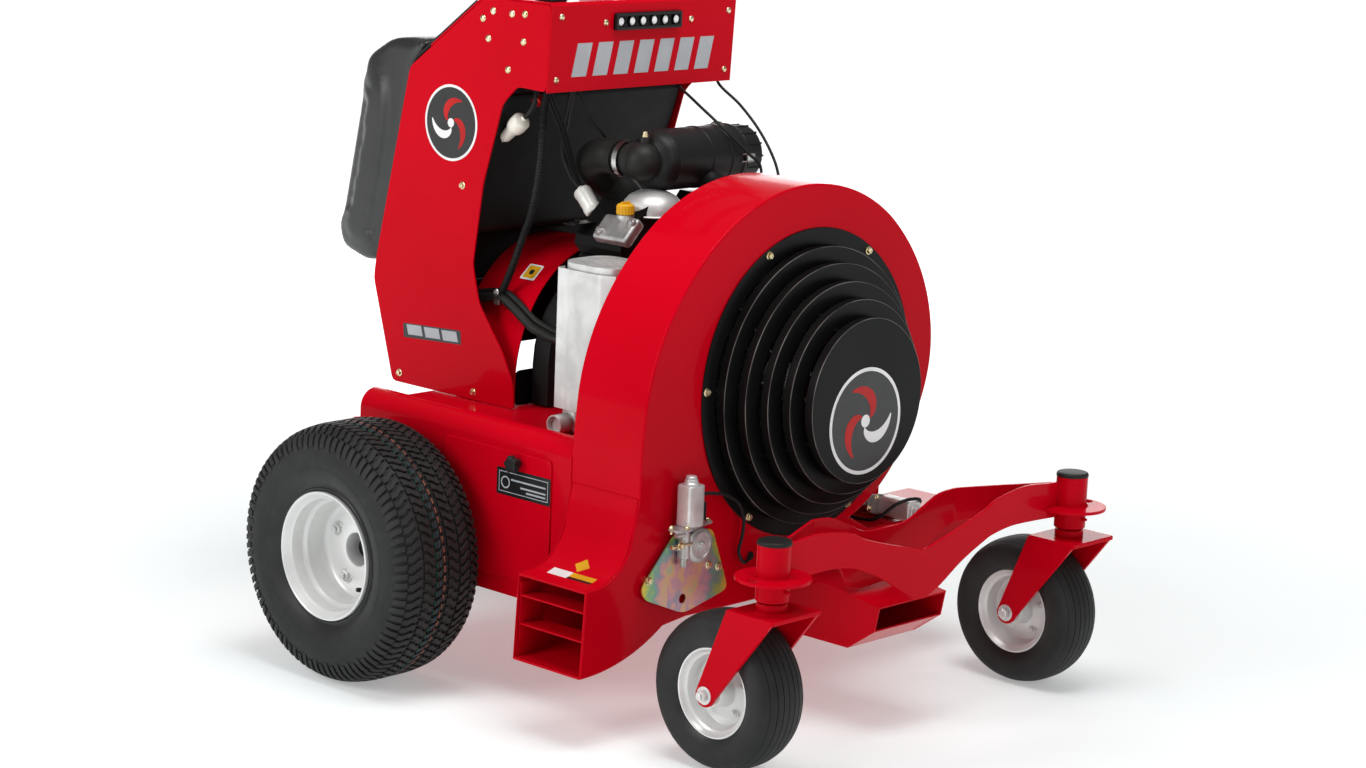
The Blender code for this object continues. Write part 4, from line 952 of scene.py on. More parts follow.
def front_beam():
    beam_plate("front_beam_face", BEAM_TOP, BEAM_BOTTOM, lambda x: -0.672, 0.386, "front_beam_front_plate")
    bend_x, middle_y, end = 0.20, -0.580, (0.386, -0.663)
    slope = (end[1] - middle_y) / (end[0] - bend_x)

    def plan(x):
        return middle_y + slope * max(x - bend_x, 0)

    beam_plate("front_beam_rear_face", REAR_BEAM_TOP, REAR_BEAM_BOTTOM, plan, end[0], "front_beam_rear_plate")
    seams = []
    for _, side in SIDES:
        x = side * 0.3875
        for y in (-0.6690, -0.6765):
            seams.append(weld([(x, y, 0.343), (x, y, 0.358), (x, y, 0.402)], 0.0020, 11))
        seams.append(weld([(side * 0.383, -0.658, 0.345), (side * 0.383, -0.657, 0.399)], 0.0020, 12))
    piece("beam_welds", merged(*seams), RED, crease=80)


def spindle(side_name, side):
    x, y = side * SPINDLE[0], SPINDLE[1]
    tube_r, bore, low, high = 0.0294, 0.0165, 0.316, 0.4145
    post = [(tube_r - 0.0012, high), (tube_r, high - 0.0012), (tube_r, low + 0.0012), (tube_r - 0.0012, low),
            (bore, low), (bore, high)]
    shapes = [turned(post, Z, (x, y, 0), 56, ring=True)]
    ring_z, ring_r = 0.355, 0.066
    hole = [(x + side * 0.0475 + 0.0125 * math.cos(math.radians(a)), y + 0.0125 * math.sin(math.radians(a)))
            for a in range(0, 360, 12)]
    outline = []
    for i in range(72):
        a = 2 * math.pi * i / 72
        u, v = x + ring_r * math.cos(a), y + ring_r * math.sin(a)
        if (x - u) * side > 0.030 and v > -0.6655:
            continue
        outline.append((u, v))
    shapes.append(slab([outline, circle(x, y, tube_r - 0.003, 40), hole], "XY", ring_z - 0.003,
                       ring_z + 0.003, 0.0010))
    shapes.append(weld([(x + 0.0305 * math.cos(a), y + 0.0305 * math.sin(a), ring_z + 0.0035)
                        for a in [math.radians(t) for t in range(-150, 151, 15)]], 0.0018, 21))
    piece(f"spindle_{side_name}", merged(*shapes), RED, stands_for=f"spindle_housing_{side_name}")
    cap = [(0, 0.4212), (0.0262, 0.4212), (0.0284, 0.4204), (0.0298, 0.4186), (0.0301, 0.4165),
           (0.0301, 0.4140), (0.0290, 0.4136), (0, 0.4136)]
    piece(f"spindle_cap_{side_name}", turned(cap, Z, (x, y, 0), 56), HOSE)
    grease = [(0, 0.010), (0.0018, 0.0095), (0.0026, 0.008), (0.0020, 0.0062), (0.0034, 0.005),
              (0.0036, 0.001), (0, 0.001)]
    piece(f"grease_nipple_{side_name}", turned(grease, -Y, (x, y - tube_r, 0.336), 16), RED)


def caster(side_name, side):
    x, wheel_y = side * SPINDLE[0], CASTER_WHEEL[1]
    half_w, top, sheet = 0.0625, 0.300, 0.008
    fork_body, wheel_body = f"{side_name}_caster_fork", f"{side_name}_caster_wheel"
    plan = softened([(x - half_w, -0.742), (x + half_w, -0.742), (x + half_w, -0.636), (x - half_w, -0.636)],
                    0.004, 3)
    shapes = [slab([plan], "XY", top - sheet, top, 0.0014)]
    leg = [(-0.742, top - 0.002), (-0.636, top - 0.002)] + arc(wheel_y, CASTER_R, 0.021, 10, -160, 24)
    for turn in (-1, 1):
        low, high = sorted((x + turn * (half_w - sheet), x + turn * (half_w - 0.0002)))
        shapes.append(slab([leg], "YZ", low, high, 0.0014))
    for turn in (-1, 1):
        inner = x + turn * (half_w - sheet - 0.001)
        shapes.append(weld([(inner, -0.734, top - sheet - 0.001), (inner, -0.644, top - sheet - 0.001)],
                           0.0024, 31))
    piece(f"caster_yoke_{side_name}", merged(*shapes), RED, fork_body, stands_for=f"caster_fork_{side_name}")
    stem = [(0, 0.404), (0.0145, 0.404), (0.0155, 0.402), (0.0155, 0.3135), (0.0255, 0.3125), (0.0268, 0.310),
            (0.0268, 0.3005), (0, 0.3005)]
    piece(f"caster_stem_{side_name}", turned(stem, Z, (x, SPINDLE[1], 0), 40), RED, fork_body)
    bolt = []
    for turn in (-1, 1):
        at = (x + turn * (half_w - 0.0002), wheel_y, CASTER_R)
        washer = [(0, 0.0022), (0.0150, 0.0022), (0.0158, 0.0016), (0.0158, 0), (0, 0)]
        bolt.append(turned(washer, X * turn, at, 32))
        bolt.append(hex_bolt((at[0] + turn * 0.0020, wheel_y, CASTER_R), X * turn, 0.0185, washer=False,
                             thread=0.003 if turn == side else 0.0))
    bolt.append(pipe([(x - half_w, wheel_y, CASTER_R), (x + half_w, wheel_y, CASTER_R)], 0.0095, 24))
    piece(f"caster_axle_{side_name}", merged(*bolt), HOT, fork_body)
    centre = (x, wheel_y, CASTER_R)
    face = [(0.0793, 0.0395), (0.0800, 0.0425), (0.0790, 0.0440), (0.0768, 0.0440), (0.0752, 0.0425),
            (0.0738, 0.0385), (0.0705, 0.0350), (0.0668, 0.0330), (0.0655, 0.0290), (0.0645, 0.0140),
            (0.0620, 0.0090), (0.0575, 0.0070), (0.0500, 0.0080), (0.0420, 0.0110), (0.0330, 0.0125),
            (0.0285, 0.0145), (0.0262, 0.0190), (0.0250, 0.0420), (0.0235, 0.0440), (0.0225, 0.0470),
            (0.0140, 0.0480), (0.0105, 0.0475)]
    profile = face + [(r, -h) for r, h in face[::-1]] + [(0.0712, -0.0335), (0.0712, 0.0335)]
    shapes = [turned(profile, X, centre, 72, ring=True)]
    for turn in (-1, 1):
        for i in range(5):
            a = 2 * math.pi * i / 5 + 0.3
            spot = (x + turn * 0.0105, wheel_y + 0.0440 * math.cos(a), CASTER_R + 0.0440 * math.sin(a))
            shapes.append(hex_bolt(spot, X * turn, 0.0105, washer=True, thread=0.002))
    piece(f"caster_wheel_rim_{side_name}", merged(*shapes), SILVER, wheel_body, crease=34,
          stands_for=f"caster_rim_{side_name}")
    half = [(0.0800, 0.0448), (0.0822, 0.0462), (0.0850, 0.0468), (0.0865, 0.0478), (0.0950, 0.0507),
            (0.1060, 0.0520), (0.1160, 0.0523), (0.1230, 0.0508), (0.1285, 0.0468), (0.1310, 0.0430),
            (0.1316, 0.0412), (0.1308, 0.0406), (0.1308, 0.0396), (0.1328, 0.0388), (0.1360, 0.0318),
            (0.1371, 0.0276), (0.1357, 0.0272), (0.1357, 0.0260), (0.1375, 0.0256), (0.1391, 0.0180),
            (0.1394, 0.0146), (0.1380, 0.0142), (0.1380, 0.0130), (0.1395, 0.0126), (CASTER_R, 0.0050),
            (CASTER_R, 0.0010), (0.1384, 0.0006)]
    inside = [(0.0800, -0.0392), (0.0714, -0.0335), (0.0714, 0.0335), (0.0800, 0.0392)]
    profile = half + [(r, -h) for r, h in half[::-1]] + inside
    piece(f"caster_wheel_tyre_{side_name}", turned(profile, X, centre, 96, ring=True), CASTER_TYRE,
          wheel_body, crease=46, stands_for=f"caster_tyre_{side_name}")


# Rear wheels


TREAD_ROWS, TREAD_COUNT, TREAD_WIDTH = 6, 84, 0.0282
CROWN = ((0, REAR_R), (0.034, REAR_R), (0.050, 0.2398), (0.064, 0.2375), (0.076, 0.2325), (0.085, 0.2260),
         (0.0915, 0.2160), (0.0950, 0.2050))


def crown(h):
    """The tyre's radius at a distance from its middle."""
    h = abs(h)
    for (h0, r0), (h1, r1) in zip(CROWN, CROWN[1:]):
        if h <= h1:
            return r0 + (r1 - r0) * (h - h0) / (h1 - h0)
    return CROWN[-1][1]


def around(centre, out, angle, radius, h):
    """A point on the wheel: h is measured along the axle, outwards."""
    return Vector((centre[0] + out * h, centre[1] + radius * math.cos(angle),
                   centre[2] + radius * math.sin(angle)))


def tread_block(centre, out, angle, middle, mirror):
    """A Z-shaped block whose top follows the tyre's crown."""
    pitch = 2 * math.pi / TREAD_COUNT
    width, thick, lean = TREAD_WIDTH - 0.0042, pitch * 0.30, pitch * 0.27
    stations = ((-0.5, -1.0), (-0.20, -0.85), (0.20, 0.85), (0.5, 1.0))
    levels = ((-0.0060, 1.10, 0.0), (-0.0007, 1.0, 0.0), (0.0, 0.86, 0.0006))
    points, faces = [], []
    for drop, share, inset in levels:
        for edge in (-1, 1):
            for across, shift in stations:
                h = middle + across * (width - 2 * inset)
                a = angle + (shift * lean * mirror + edge * thick * share)
                points.append(around(centre, out, a, crown(h) + drop, h))
    count = len(stations)
    for level in range(len(levels) - 1):
        base, above = level * 2 * count, (level + 1) * 2 * count
        ring = list(range(count)) + [count + i for i in reversed(range(count))]
        for i in range(len(ring)):
            a, b = ring[i], ring[(i + 1) % len(ring)]
            faces.append([base + a, base + b, above + b, above + a])
    for base in (0, (len(levels) - 1) * 2 * count):
        for i in range(count - 1):
            faces.append([base + i, base + i + 1, base + count + i + 1, base + count + i])
    return points, faces


def shoulder_lug(centre, out, angle, side, reach):
    """A rib that runs from the tread's edge down the shoulder."""
    pitch = 2 * math.pi / TREAD_COUNT
    route = ((0.0850, 0.2262), (0.0905, 0.2190), (0.0938, 0.2105), (0.0952, 0.2035), (0.0958, 0.1975))[:reach]
    points, faces = [], []
    for i, (h, r) in enumerate(route):
        fade = 1 - 0.85 * (i / 4) ** 2 if i < reach - 1 else 0.05
        for rise, half in ((-0.004, 0.30), (0.0012 * fade, 0.27), (0.0020 * fade, 0.20)):
            for edge in (-1, 1):
                away = Vector((h / 0.11, r - 0.19)).normalized()
                points.append(around(centre, out, angle + edge * half * pitch * (0.24 / r) + i * pitch * 0.10,
                                     r + away.y * rise * 0.9, side * (h + away.x * rise * 0.6)))
    ring = (0, 2, 4, 5, 3, 1)
    for i in range(len(route) - 1):
        for j in range(6):
            a, b = ring[j], ring[(j + 1) % 6]
            faces.append([i * 6 + a, i * 6 + b, i * 6 + 6 + b, i * 6 + 6 + a])
    faces += [list(ring), [(len(route) - 1) * 6 + j for j in ring]]
    return points, faces


def rear_wheel(side_name, side):
    body = f"{side_name}_rear_wheel"
    centre = (side * REAR_WHEEL[0], REAR_WHEEL[1], REAR_WHEEL[2])
    gap = 0.0050
    half = [(0.1195, 0.0830), (0.1215, 0.0850), (0.1245, 0.0858), (0.1268, 0.0850), (0.1280, 0.0838),
            (0.1300, 0.0840), (0.1360, 0.0875), (0.1450, 0.0917), (0.1550, 0.0948), (0.1600, 0.0958),
            (0.1612, 0.0964), (0.1635, 0.0966), (0.1647, 0.0962), (0.1720, 0.0972), (0.1800, 0.0975),
            (0.1880, 0.0970), (0.1960, 0.0957), (0.2050, 0.0930), (0.2130, 0.0896), (0.2180, 0.0864),
            (0.2215, 0.0834), (0.2275, 0.0750), (0.2325, 0.0640), (0.2355, 0.0490), (REAR_R - gap, 0.0340),
            (REAR_R - gap, 0.0140)]
    profile = half + [(r, -h) for r, h in half[::-1]]
    profile += [(0.1190, -0.0810), (0.1130, -0.0773), (0.1130, 0.0773), (0.1190, 0.0810)]
    piece(f"drive_tyre_{side_name}", turned(profile, X * side, centre, 128, ring=True), TYRE, body, crease=46,
          stands_for=f"rear_tyre_{side_name}")
    blocks = []
    pitch = 2 * math.pi / TREAD_COUNT
    for row in range(TREAD_ROWS):
        middle = (row - (TREAD_ROWS - 1) / 2) * TREAD_WIDTH
        mirror = 1 if row % 2 else -1
        for i in range(TREAD_COUNT):
            blocks.append(tread_block(centre, side, (i + 0.5 * (row % 2)) * pitch, middle, mirror))
    for edge in (-1, 1):
        for i in range(TREAD_COUNT):
            blocks.append(shoulder_lug(centre, side, (i + (0.5 if edge > 0 else 0)) * pitch, edge,
                                       5 if i % 2 else 4))
    piece(f"drive_tread_{side_name}", merged(*blocks), TREAD_RUBBER, body, crease=30)
    rim = [(0.1195, 0.0835), (0.1202, 0.0880), (0.1192, 0.0905), (0.1165, 0.0912), (0.1140, 0.0895),
           (0.1120, 0.0850), (0.1075, 0.0790), (0.1050, 0.0765), (0.1038, 0.0700), (0.1030, 0.0560),
           (0.1012, 0.0520), (0.0968, 0.0490), (0.0948, 0.0460), (0.0935, 0.0200), (0.0915, 0.0120),
           (0.0860, 0.0070), (0.0760, 0.0052), (0.0600, 0.0060), (0.0540, 0.0085), (0.0440, 0.0095),
           (0.0350, 0.0100), (0.0318, 0.0085), (0.0305, 0.0050), (0.0304, -0.0060), (0.0310, -0.0970),
           (0.0460, -0.0970), (0.0520, -0.0060), (0.1000, -0.0060), (0.1070, -0.0790), (0.1187, -0.0880),
           (0.1187, -0.0835), (0.1120, -0.0780), (0.1120, 0.0780)]
    piece(f"drive_rim_{side_name}", turned(rim, X * side, centre, 96, ring=True), SILVER, body, crease=34,
          stands_for=f"rear_rim_{side_name}")
    nuts, studs = [], 4
    for i in range(studs):
        a = 2 * math.pi * i / studs + math.radians(28)
        spot = around(centre, side, a, 0.0620, 0.0062)
        nuts.append(hex_bolt(spot, X * side, 0.0185, washer=True, thread=0.004))
    piece(f"lug_nuts_{side_name}", merged(*nuts), HOT, body)
    hub = [(0, -0.0170), (0.0090, -0.0170), (0.0100, -0.0190), (0.0102, -0.0240), (0.0300, -0.0250),
           (0.0300, -0.0300), (0, -0.0300)]
    piece(f"hub_{side_name}", turned(hub, X * side, centre, 40), DECAL_BLACK, body)
    valve = [(0, 0.024), (0.0035, 0.024), (0.0042, 0.022), (0.0042, 0.013), (0.0052, 0.010), (0.0058, 0),
             (0, 0)]
    spot = around(centre, side, math.radians(214), 0.0975, 0.0500)
    piece(f"valve_{side_name}", turned(valve, around((0, 0, 0), side, math.radians(214), -0.35, 1.0), spot,
                                       20), HOSE, body)
    dress(BLACK, f"wheel_motor_{side_name}", edge=0.001)


# Chassis and platform


def chassis():
    roll, top = 0.035, 0.505
    half = [(WALL_X, 0.192)] + arc(WALL_X - roll, top - roll, roll, 0, 100, 18) + softened(
        [(0.382, 0.497), (0.366, DECK_Z + 0.002), (0.345, DECK_Z)], 0.006, 4, closed=False)
    path = half + [(-x, z) for x, z in half[::-1]]
    piece("chassis_fenders", bent(path[::-1], "XZ", HOUSING_BACK + 0.0005, 0.360, 0.005, 0.0014), RED,
          crease=30, stands_for="chassis_shell")
    dress(RED, "chassis_pan", edge=0.0010)
    dress(RED, "access_cover", edge=0.0010)
    at = (-WALL_X - 0.0035, -0.078, 0.443)
    lobes = [(at[1] + (0.0145 + 0.0016 * math.cos(5 * a)) * math.cos(a),
              at[2] + (0.0145 + 0.0016 * math.cos(5 * a)) * math.sin(a))
             for a in [2 * math.pi * i / 60 for i in range(60)]]
    knob = [slab([lobes], "YZ", at[0] - 0.0235, at[0] - 0.0085, 0.0035),
            turned([(0, 0.0100), (0.0085, 0.0100), (0.0075, 0.0005), (0, 0.0005)], -X, at, 28)]
    piece("access_cover_knob", merged(*knob), PLASTIC, "cover_knob", stands_for="access_knob")
    label = softened([(-0.162, 0.378), (-0.023, 0.378), (-0.023, 0.428), (-0.162, 0.428)], 0.003)
    x = -WALL_X - 0.0035
    piece("side_label", slab([label], "YZ", x - 0.0003, x + 0.0001, 0), DECAL_BLACK)
    inner = [(-0.156, 0.384), (-0.029, 0.384), (-0.029, 0.422), (-0.156, 0.422)]
    line = 0.0014
    frame_line = [inner, [(u + (line if u < -0.09 else -line), v + (line if v < 0.4 else -line))
                          for u, v in inner]]
    bars = [slab(frame_line, "YZ", x - 0.0006, x - 0.0002, 0)]
    for z, low, high in ((0.409, -0.150, -0.060), (0.398, -0.150, -0.085), (0.391, -0.150, -0.100)):
        bars.append(slab([[(low, z - 0.0016), (high, z - 0.0016), (high, z + 0.0016), (low, z + 0.0016)]],
                         "YZ", x - 0.0006, x - 0.0002, 0))
    bars.append(slab([circle(-0.046, 0.402, 0.0115, 36), circle(-0.046, 0.402, 0.0088, 36)], "YZ", x - 0.0006,
                     x - 0.0002, 0))
    piece("side_label_marks", merged(*bars), DECAL_GREY)


def platform():
    dress(TREAD, "operator_platform", edge=0.0012)
    studs = []
    top = 0.190
    for row in range(19):
        for column in range(26):
            x = -0.200 + column * 0.016
            y = 0.456 + row * 0.0155
            tilt = math.radians(45 if (row + column) % 2 else -45)
            stud = ball((0, 0, 0), 1, (0.0072, 0.0021, 0.0011), 10)
            studs.append(moved(stud, Matrix.Translation((x, y, top)) @ Matrix.Rotation(tilt, 4, "Z")))
    piece("platform_tread", merged(*studs), TREAD, "platform", crease=60)
    bolts = [dome_bolt((x, 0.4425, 0.190), Z, 0.0065) for x in (-0.180, -0.060, 0.060, 0.180)]
    piece("platform_bolts", merged(*bolts), ZINC, "platform")
    hinge = []
    for side in (-1, 1):
        ear = [(0.4206, 0.1945), (0.4345, 0.1945)] + arc(0.4345, 0.181, 0.0135, 90, -90,
                                                         10) + [(0.4206, 0.1675)]
        low, high = sorted((side * 0.2015, side * 0.2075))
        hinge.append(slab([ear], "YZ", low, high, 0.001))
        hinge.append(hex_bolt((side * 0.2070, 0.4345, 0.181), X * side, 0.012))
    piece("platform_hinge_ears", merged(*hinge), RED)


# Engine


def muffler():
    """An oval can in a heat shield with a folded edge, a perforated top, a short foot and the outlet pipe."""
    outline = softened([(-0.325, -0.190), (-0.205, -0.190), (-0.205, -0.054), (-0.325, -0.054)], 0.048, 9)
    low, high = 0.534, 0.800
    centre = Vector((-0.265, -0.122))
    shrink = [tuple(centre + (Vector(p) - centre) * 0.965) for p in outline]
    grown = [tuple(centre + (Vector(p) - centre) * 1.008) for p in outline]
    shapes = [slab([outline], "XY", low, high - 0.003, 0.005),
              slab([grown, shrink], "XY", high - 0.014, high, 0.0012)]
    shield = softened([(-0.306, -0.0530), (-0.3275, -0.0560), (-0.3275, -0.0860), (-0.3290, -0.0900),
                       (-0.3290, -0.1650), (-0.314, -0.1900)], 0.005, 3, closed=False)
    shapes.append(bent(shield, "XY", low - 0.004, high - 0.012, 0.0014, 0.0005))
    shapes.append(box((-0.314, -0.100, 0.4845), (-0.274, -0.062, low + 0.004), 0.006, 3))
    piece("muffler_shell", merged(*shapes), HOT, stands_for="muffler")
    dimple = [(0.0085, 0.0012), (0.0100, 0.0004), (0.0104, 0), (0.0070, 0), (0.0074, 0.0008)]
    piece("muffler_dimple", turned(dimple, -X, (-0.3290, -0.112, 0.750), 32, ring=True), HOT)
    holes = []
    for row in range(14):
        for column in range(12):
            x = -0.318 + column * 0.0092 + (0.0046 if row % 2 else 0)
            y = -0.183 + row * 0.0093
            if math.hypot((x - centre.x) / 0.050, (y - centre.y) / 0.058) < 1.0:
                holes.append(circle(x, y, 0.0027, 10))
    piece("muffler_guard", slab([shrink] + holes, "XY", high - 0.0012, high - 0.0002, 0), HOT)
    # A black sheet under the perforated top: painted shade, so the holes look dark.
    piece("muffler_painted_shade_sheet", slab([shrink], "XY", high - 0.0030, high - 0.0026, 0), DECAL_BLACK)
    y, z = -0.078, 0.5015
    route = smooth_route([(-0.294, y, 0.545), (-0.294, y, 0.518), (-0.302, y, z + 0.004), (-0.325, y, z),
                          (-0.3475, y, z)], 8)
    bore = turned([(0.0185, 0.0045), (0.0163, 0.0045), (0.0163, -0.020), (0.0185, -0.020)], -X,
                  (-0.3435, y, z), 40, ring=True)
    piece("muffler_outlet", merged(pipe(route[:-4], 0.0185, 40), bore), HOT)
    # A black disc a little way inside the outlet: painted shade, so the pipe looks deep and dark.
    piece("muffler_outlet_painted_shade", turned([(0, 0.0006), (0.0164, 0.0006), (0.0164, 0), (0, 0)], -X,
                                        (-0.336, y, z), 32),
          DECAL_BLACK)


def clamp(at, direction, radius, width=0.011):
    """A worm-drive hose clamp: a thin band, its housing and its screw."""
    band = [(radius, width / 2), (radius + 0.0011, width / 2), (radius + 0.0011, -width / 2),
            (radius, -width / 2)]
    shapes = [lathe(band, 48, ring=True)]
    shapes.append(box((radius - 0.001, -0.013, -width / 2 - 0.001),
                      (radius + 0.0085, 0.010, width / 2 + 0.001), 0.002))
    shapes.append(pipe([(radius + 0.0045, 0.008, 0), (radius + 0.0045, 0.020, 0)], 0.0042, 12))
    return moved(merged(*shapes), facing(direction, at))


def intake():
    y, z = CLEANER_Y, CLEANER_Z
    at = (0, y, z)
    profile = [(0, 0.1895), (0.0420, 0.1895), (0.0440, 0.1880), (0.0450, 0.1850), (0.0505, 0.1845),
               (0.0525, 0.1825), (0.0532, 0.1780), (0.0532, 0.1500), (0.0545, 0.1480), (0.0545, 0.1440),
               (0.0532, 0.1425), (0.0532, 0.1400), (0.0576, 0.1370), (0.0590, 0.1340), (0.0590, 0.1280),
               (0.0575, 0.1260), (0.0575, 0.1020), (0.0588, 0.1005), (0.0588, 0.0955), (0.0575, 0.0940),
               (0.0575, 0.0500), (0.0588, 0.0485), (0.0588, 0.0435), (0.0575, 0.0420), (0.0575, -0.0440),
               (0.0585, -0.0460), (0.0585, -0.0510), (0.0570, -0.0530), (0.0560, -0.0590), (0.0520, -0.0680),
               (0.0440, -0.0740), (0.0360, -0.0770), (0.0330, -0.0800), (0.0330, -0.0850), (0, -0.0850)]
    shapes = [turned(profile, X, at, 64)]
    for i in range(14):
        a = 2 * math.pi * i / 14
        rib = box((0.139, 0.050, -0.0018), (0.184, 0.0550, 0.0018), 0.0008)
        shapes.append(moved(rib, Matrix.Translation(at) @ Matrix.Rotation(a, 4, "X")))
    shapes.append(pipe(smooth_route([(0.045, y - 0.030, z - 0.030), (0.045, y - 0.062, z - 0.044),
                                     (0.045, y - 0.090, z - 0.046)], 6),
                       0.0205, 28))
    piece("air_cleaner_body", merged(*shapes), PLASTIC, stands_for="air_cleaner")
    elbow = [ball((ELBOW_X, y, z), 0.0365, steps=40)]
    elbow.append(turned([(0, 0.056), (0.0305, 0.056), (0.0305, 0.030), (0.0345, 0.026), (0.0345, 0.012),
                         (0, 0.012)], Y,
                        (ELBOW_X, y, z), 44))
    elbow.append(turned([(0.0300, 0.034), (0.0372, 0.034), (0.0380, 0.031), (0.0380, 0.016), (0.0365, 0.012),
                         (0, 0.012), (0, 0.034)], X, (ELBOW_X, y, z), 44))
    elbow.append(turned([(0, 0.046), (0.0095, 0.046), (0.0105, 0.040), (0.0105, 0.022), (0, 0.022)], Z,
                        (ELBOW_X + 0.004, y, z)))
    piece("air_cleaner_elbow", merged(*elbow), HOSE)
    piece("crankcase_breather_tip", turned([(0, 0.0105), (0.0042, 0.0105), (0.0052, 0.0090), (0.0052, 0.0045),
                                            (0.0066, 0.004), (0.0066, 0), (0, 0)], Z,
                                            (ELBOW_X + 0.004, y, z + 0.0455), 20), ZINC)
    start = y + 0.0575
    bend = smooth_route([(ELBOW_X, start, z), (ELBOW_X, start + 0.013, z), (ELBOW_X, start + 0.041, z),
                         (-0.078, 0.112, 0.942), (-0.030, 0.122, 0.905), (0, 0.098, 0.872),
                         (0, 0.092, 0.8465)], 10)
    piece("intake_elbow_hose", pipe(bend, 0.0335, 40), HOSE, stands_for="intake_hose")
    piece("throttle_body_casting", merged(box((-0.036, 0.052, 0.781), (0.036, 0.130, 0.848), 0.010, 3),
                                          box((-0.044, 0.060, 0.838), (0.044, 0.122, 0.848), 0.003)), CAST)
    bands = [clamp((ELBOW_X, start - 0.016, z), Y, 0.0347), clamp((0, 0.094, 0.856), Z, 0.0336)]
    piece("hose_clamps", merged(*bands), STEEL)
    clips = []
    for a in (60, 180, 300):
        turn = Matrix.Translation(at) @ Matrix.Rotation(math.radians(a), 4, "X")
        wire = [(0.118, 0.060, -0.007), (0.130, 0.064, -0.007), (0.148, 0.062, -0.006), (0.153, 0.059, 0),
                (0.148, 0.062, 0.006), (0.130, 0.064, 0.007), (0.118, 0.060, 0.007)]
        clips.append(moved(pipe(smooth_route(wire, 5), 0.0014, 8), turn))
        clips.append(moved(box((0.128, 0.0585, -0.0060), (0.146, 0.0650, 0.0060), 0.0018), turn))
    piece("air_cleaner_clips", merged(*clips), STEEL)
    dome = [(0, 0.046), (0.014, 0.0452), (0.030, 0.042), (0.044, 0.035), (0.0535, 0.024), (0.0575, 0.012),
            (0.0580, 0.004), (0.0640, 0.0035), (0.0650, 0.0020), (0.0640, 0), (0, 0)]
    piece("carburettor_dome", turned(dome, Z, (-0.070, -0.040, 0.862), 56), HOT)


def engine():
    dress(CAST, "engine_crankcase", edge=0.003)
    dress(BLACK, "cylinder_left", "cylinder_right", edge=0.0008)
    dress(PLASTIC, "engine_shroud", edge=0.002)
    dress(CAST, "hydraulic_pump", edge=0.001)
    muffler()
    intake()
    x, y, z = OIL
    cap = [(0, 0.0205), (0.0125, 0.0205), (0.0150, 0.0190), (0.0162, 0.0165), (0.0162, 0.0012),
           (0.0150, 0.0005), (0, 0.0005)]
    ribs = [turned(cap, Z, (x, y, z), 40)]
    for i in range(18):
        a = 2 * math.pi * i / 18
        ribs.append(pipe([(x + 0.0160 * math.cos(a), y + 0.0160 * math.sin(a), z + 0.0025),
                          (x + 0.0160 * math.cos(a), y + 0.0160 * math.sin(a), z + 0.0165)], 0.0011, 8))
    ribs.append(slab([softened([(x - 0.011, y - 0.0025), (x + 0.011, y - 0.0025), (x + 0.011, y + 0.0025),
                                (x - 0.011, y + 0.0025)],
                               0.002)], "XY", z + 0.0195, z + 0.0245, 0.001))
    piece("oil_cap", merged(*ribs), YELLOW, "oil_cap", stands_for="oil_fill_cap")
    neck = [(0.0168, 0), (0.0168, -0.006), (0.0150, -0.008), (0.0140, -0.030), (0.0170, -0.036),
            (0.0170, -0.048), (0, -0.048), (0, 0)]
    filler = merged(turned(neck, Z, (x, y, z), 36),
                    pipe(smooth_route([(x, y, z - 0.045), (x + 0.010, y, z - 0.090),
                                       (x + 0.050, y, z - 0.150)], 6), 0.0125, 24))
    piece("oil_filler_neck", filler, CAST)
    slope = Matrix.Translation((x - 0.019, y - 0.002, z - 0.030)) @ Matrix.Rotation(math.radians(-46), 4, "Y")
    casting = [moved(box((-0.026, -0.042, -0.012), (0.030, 0.046, 0.012), 0.007, 3), slope)]
    casting += [moved(turned([(0, 0.006), (0.0085, 0.006), (0.0105, 0), (0, 0)], Z, (dx, dy, 0.010), 24),
                      slope)
                for dx, dy in ((-0.013, 0.030), (0.016, -0.030))]
    piece("oil_filler_casting", merged(*casting), CAST)
    bolts = [moved(hex_bolt((dx, dy, 0.016), Z, 0.009), slope)
             for dx, dy in ((-0.013, 0.030), (0.016, -0.030))]
    piece("oil_filler_bolts", merged(*bolts), STEEL)
    rods = [pipe(smooth_route([(-0.035, -0.095, 0.848), (-0.010, -0.110, 0.842), (0.030, -0.112, 0.848),
                               (0.070, -0.112, 0.852)], 6),
                 0.0022, 10),
            box((0.060, -0.122, 0.832), (0.155, -0.098, 0.8355), 0.001),
            box((0.090, -0.120, 0.780), (0.094, -0.100, 0.835), 0.001)]
    piece("governor_linkage", merged(*rods), ZINC)


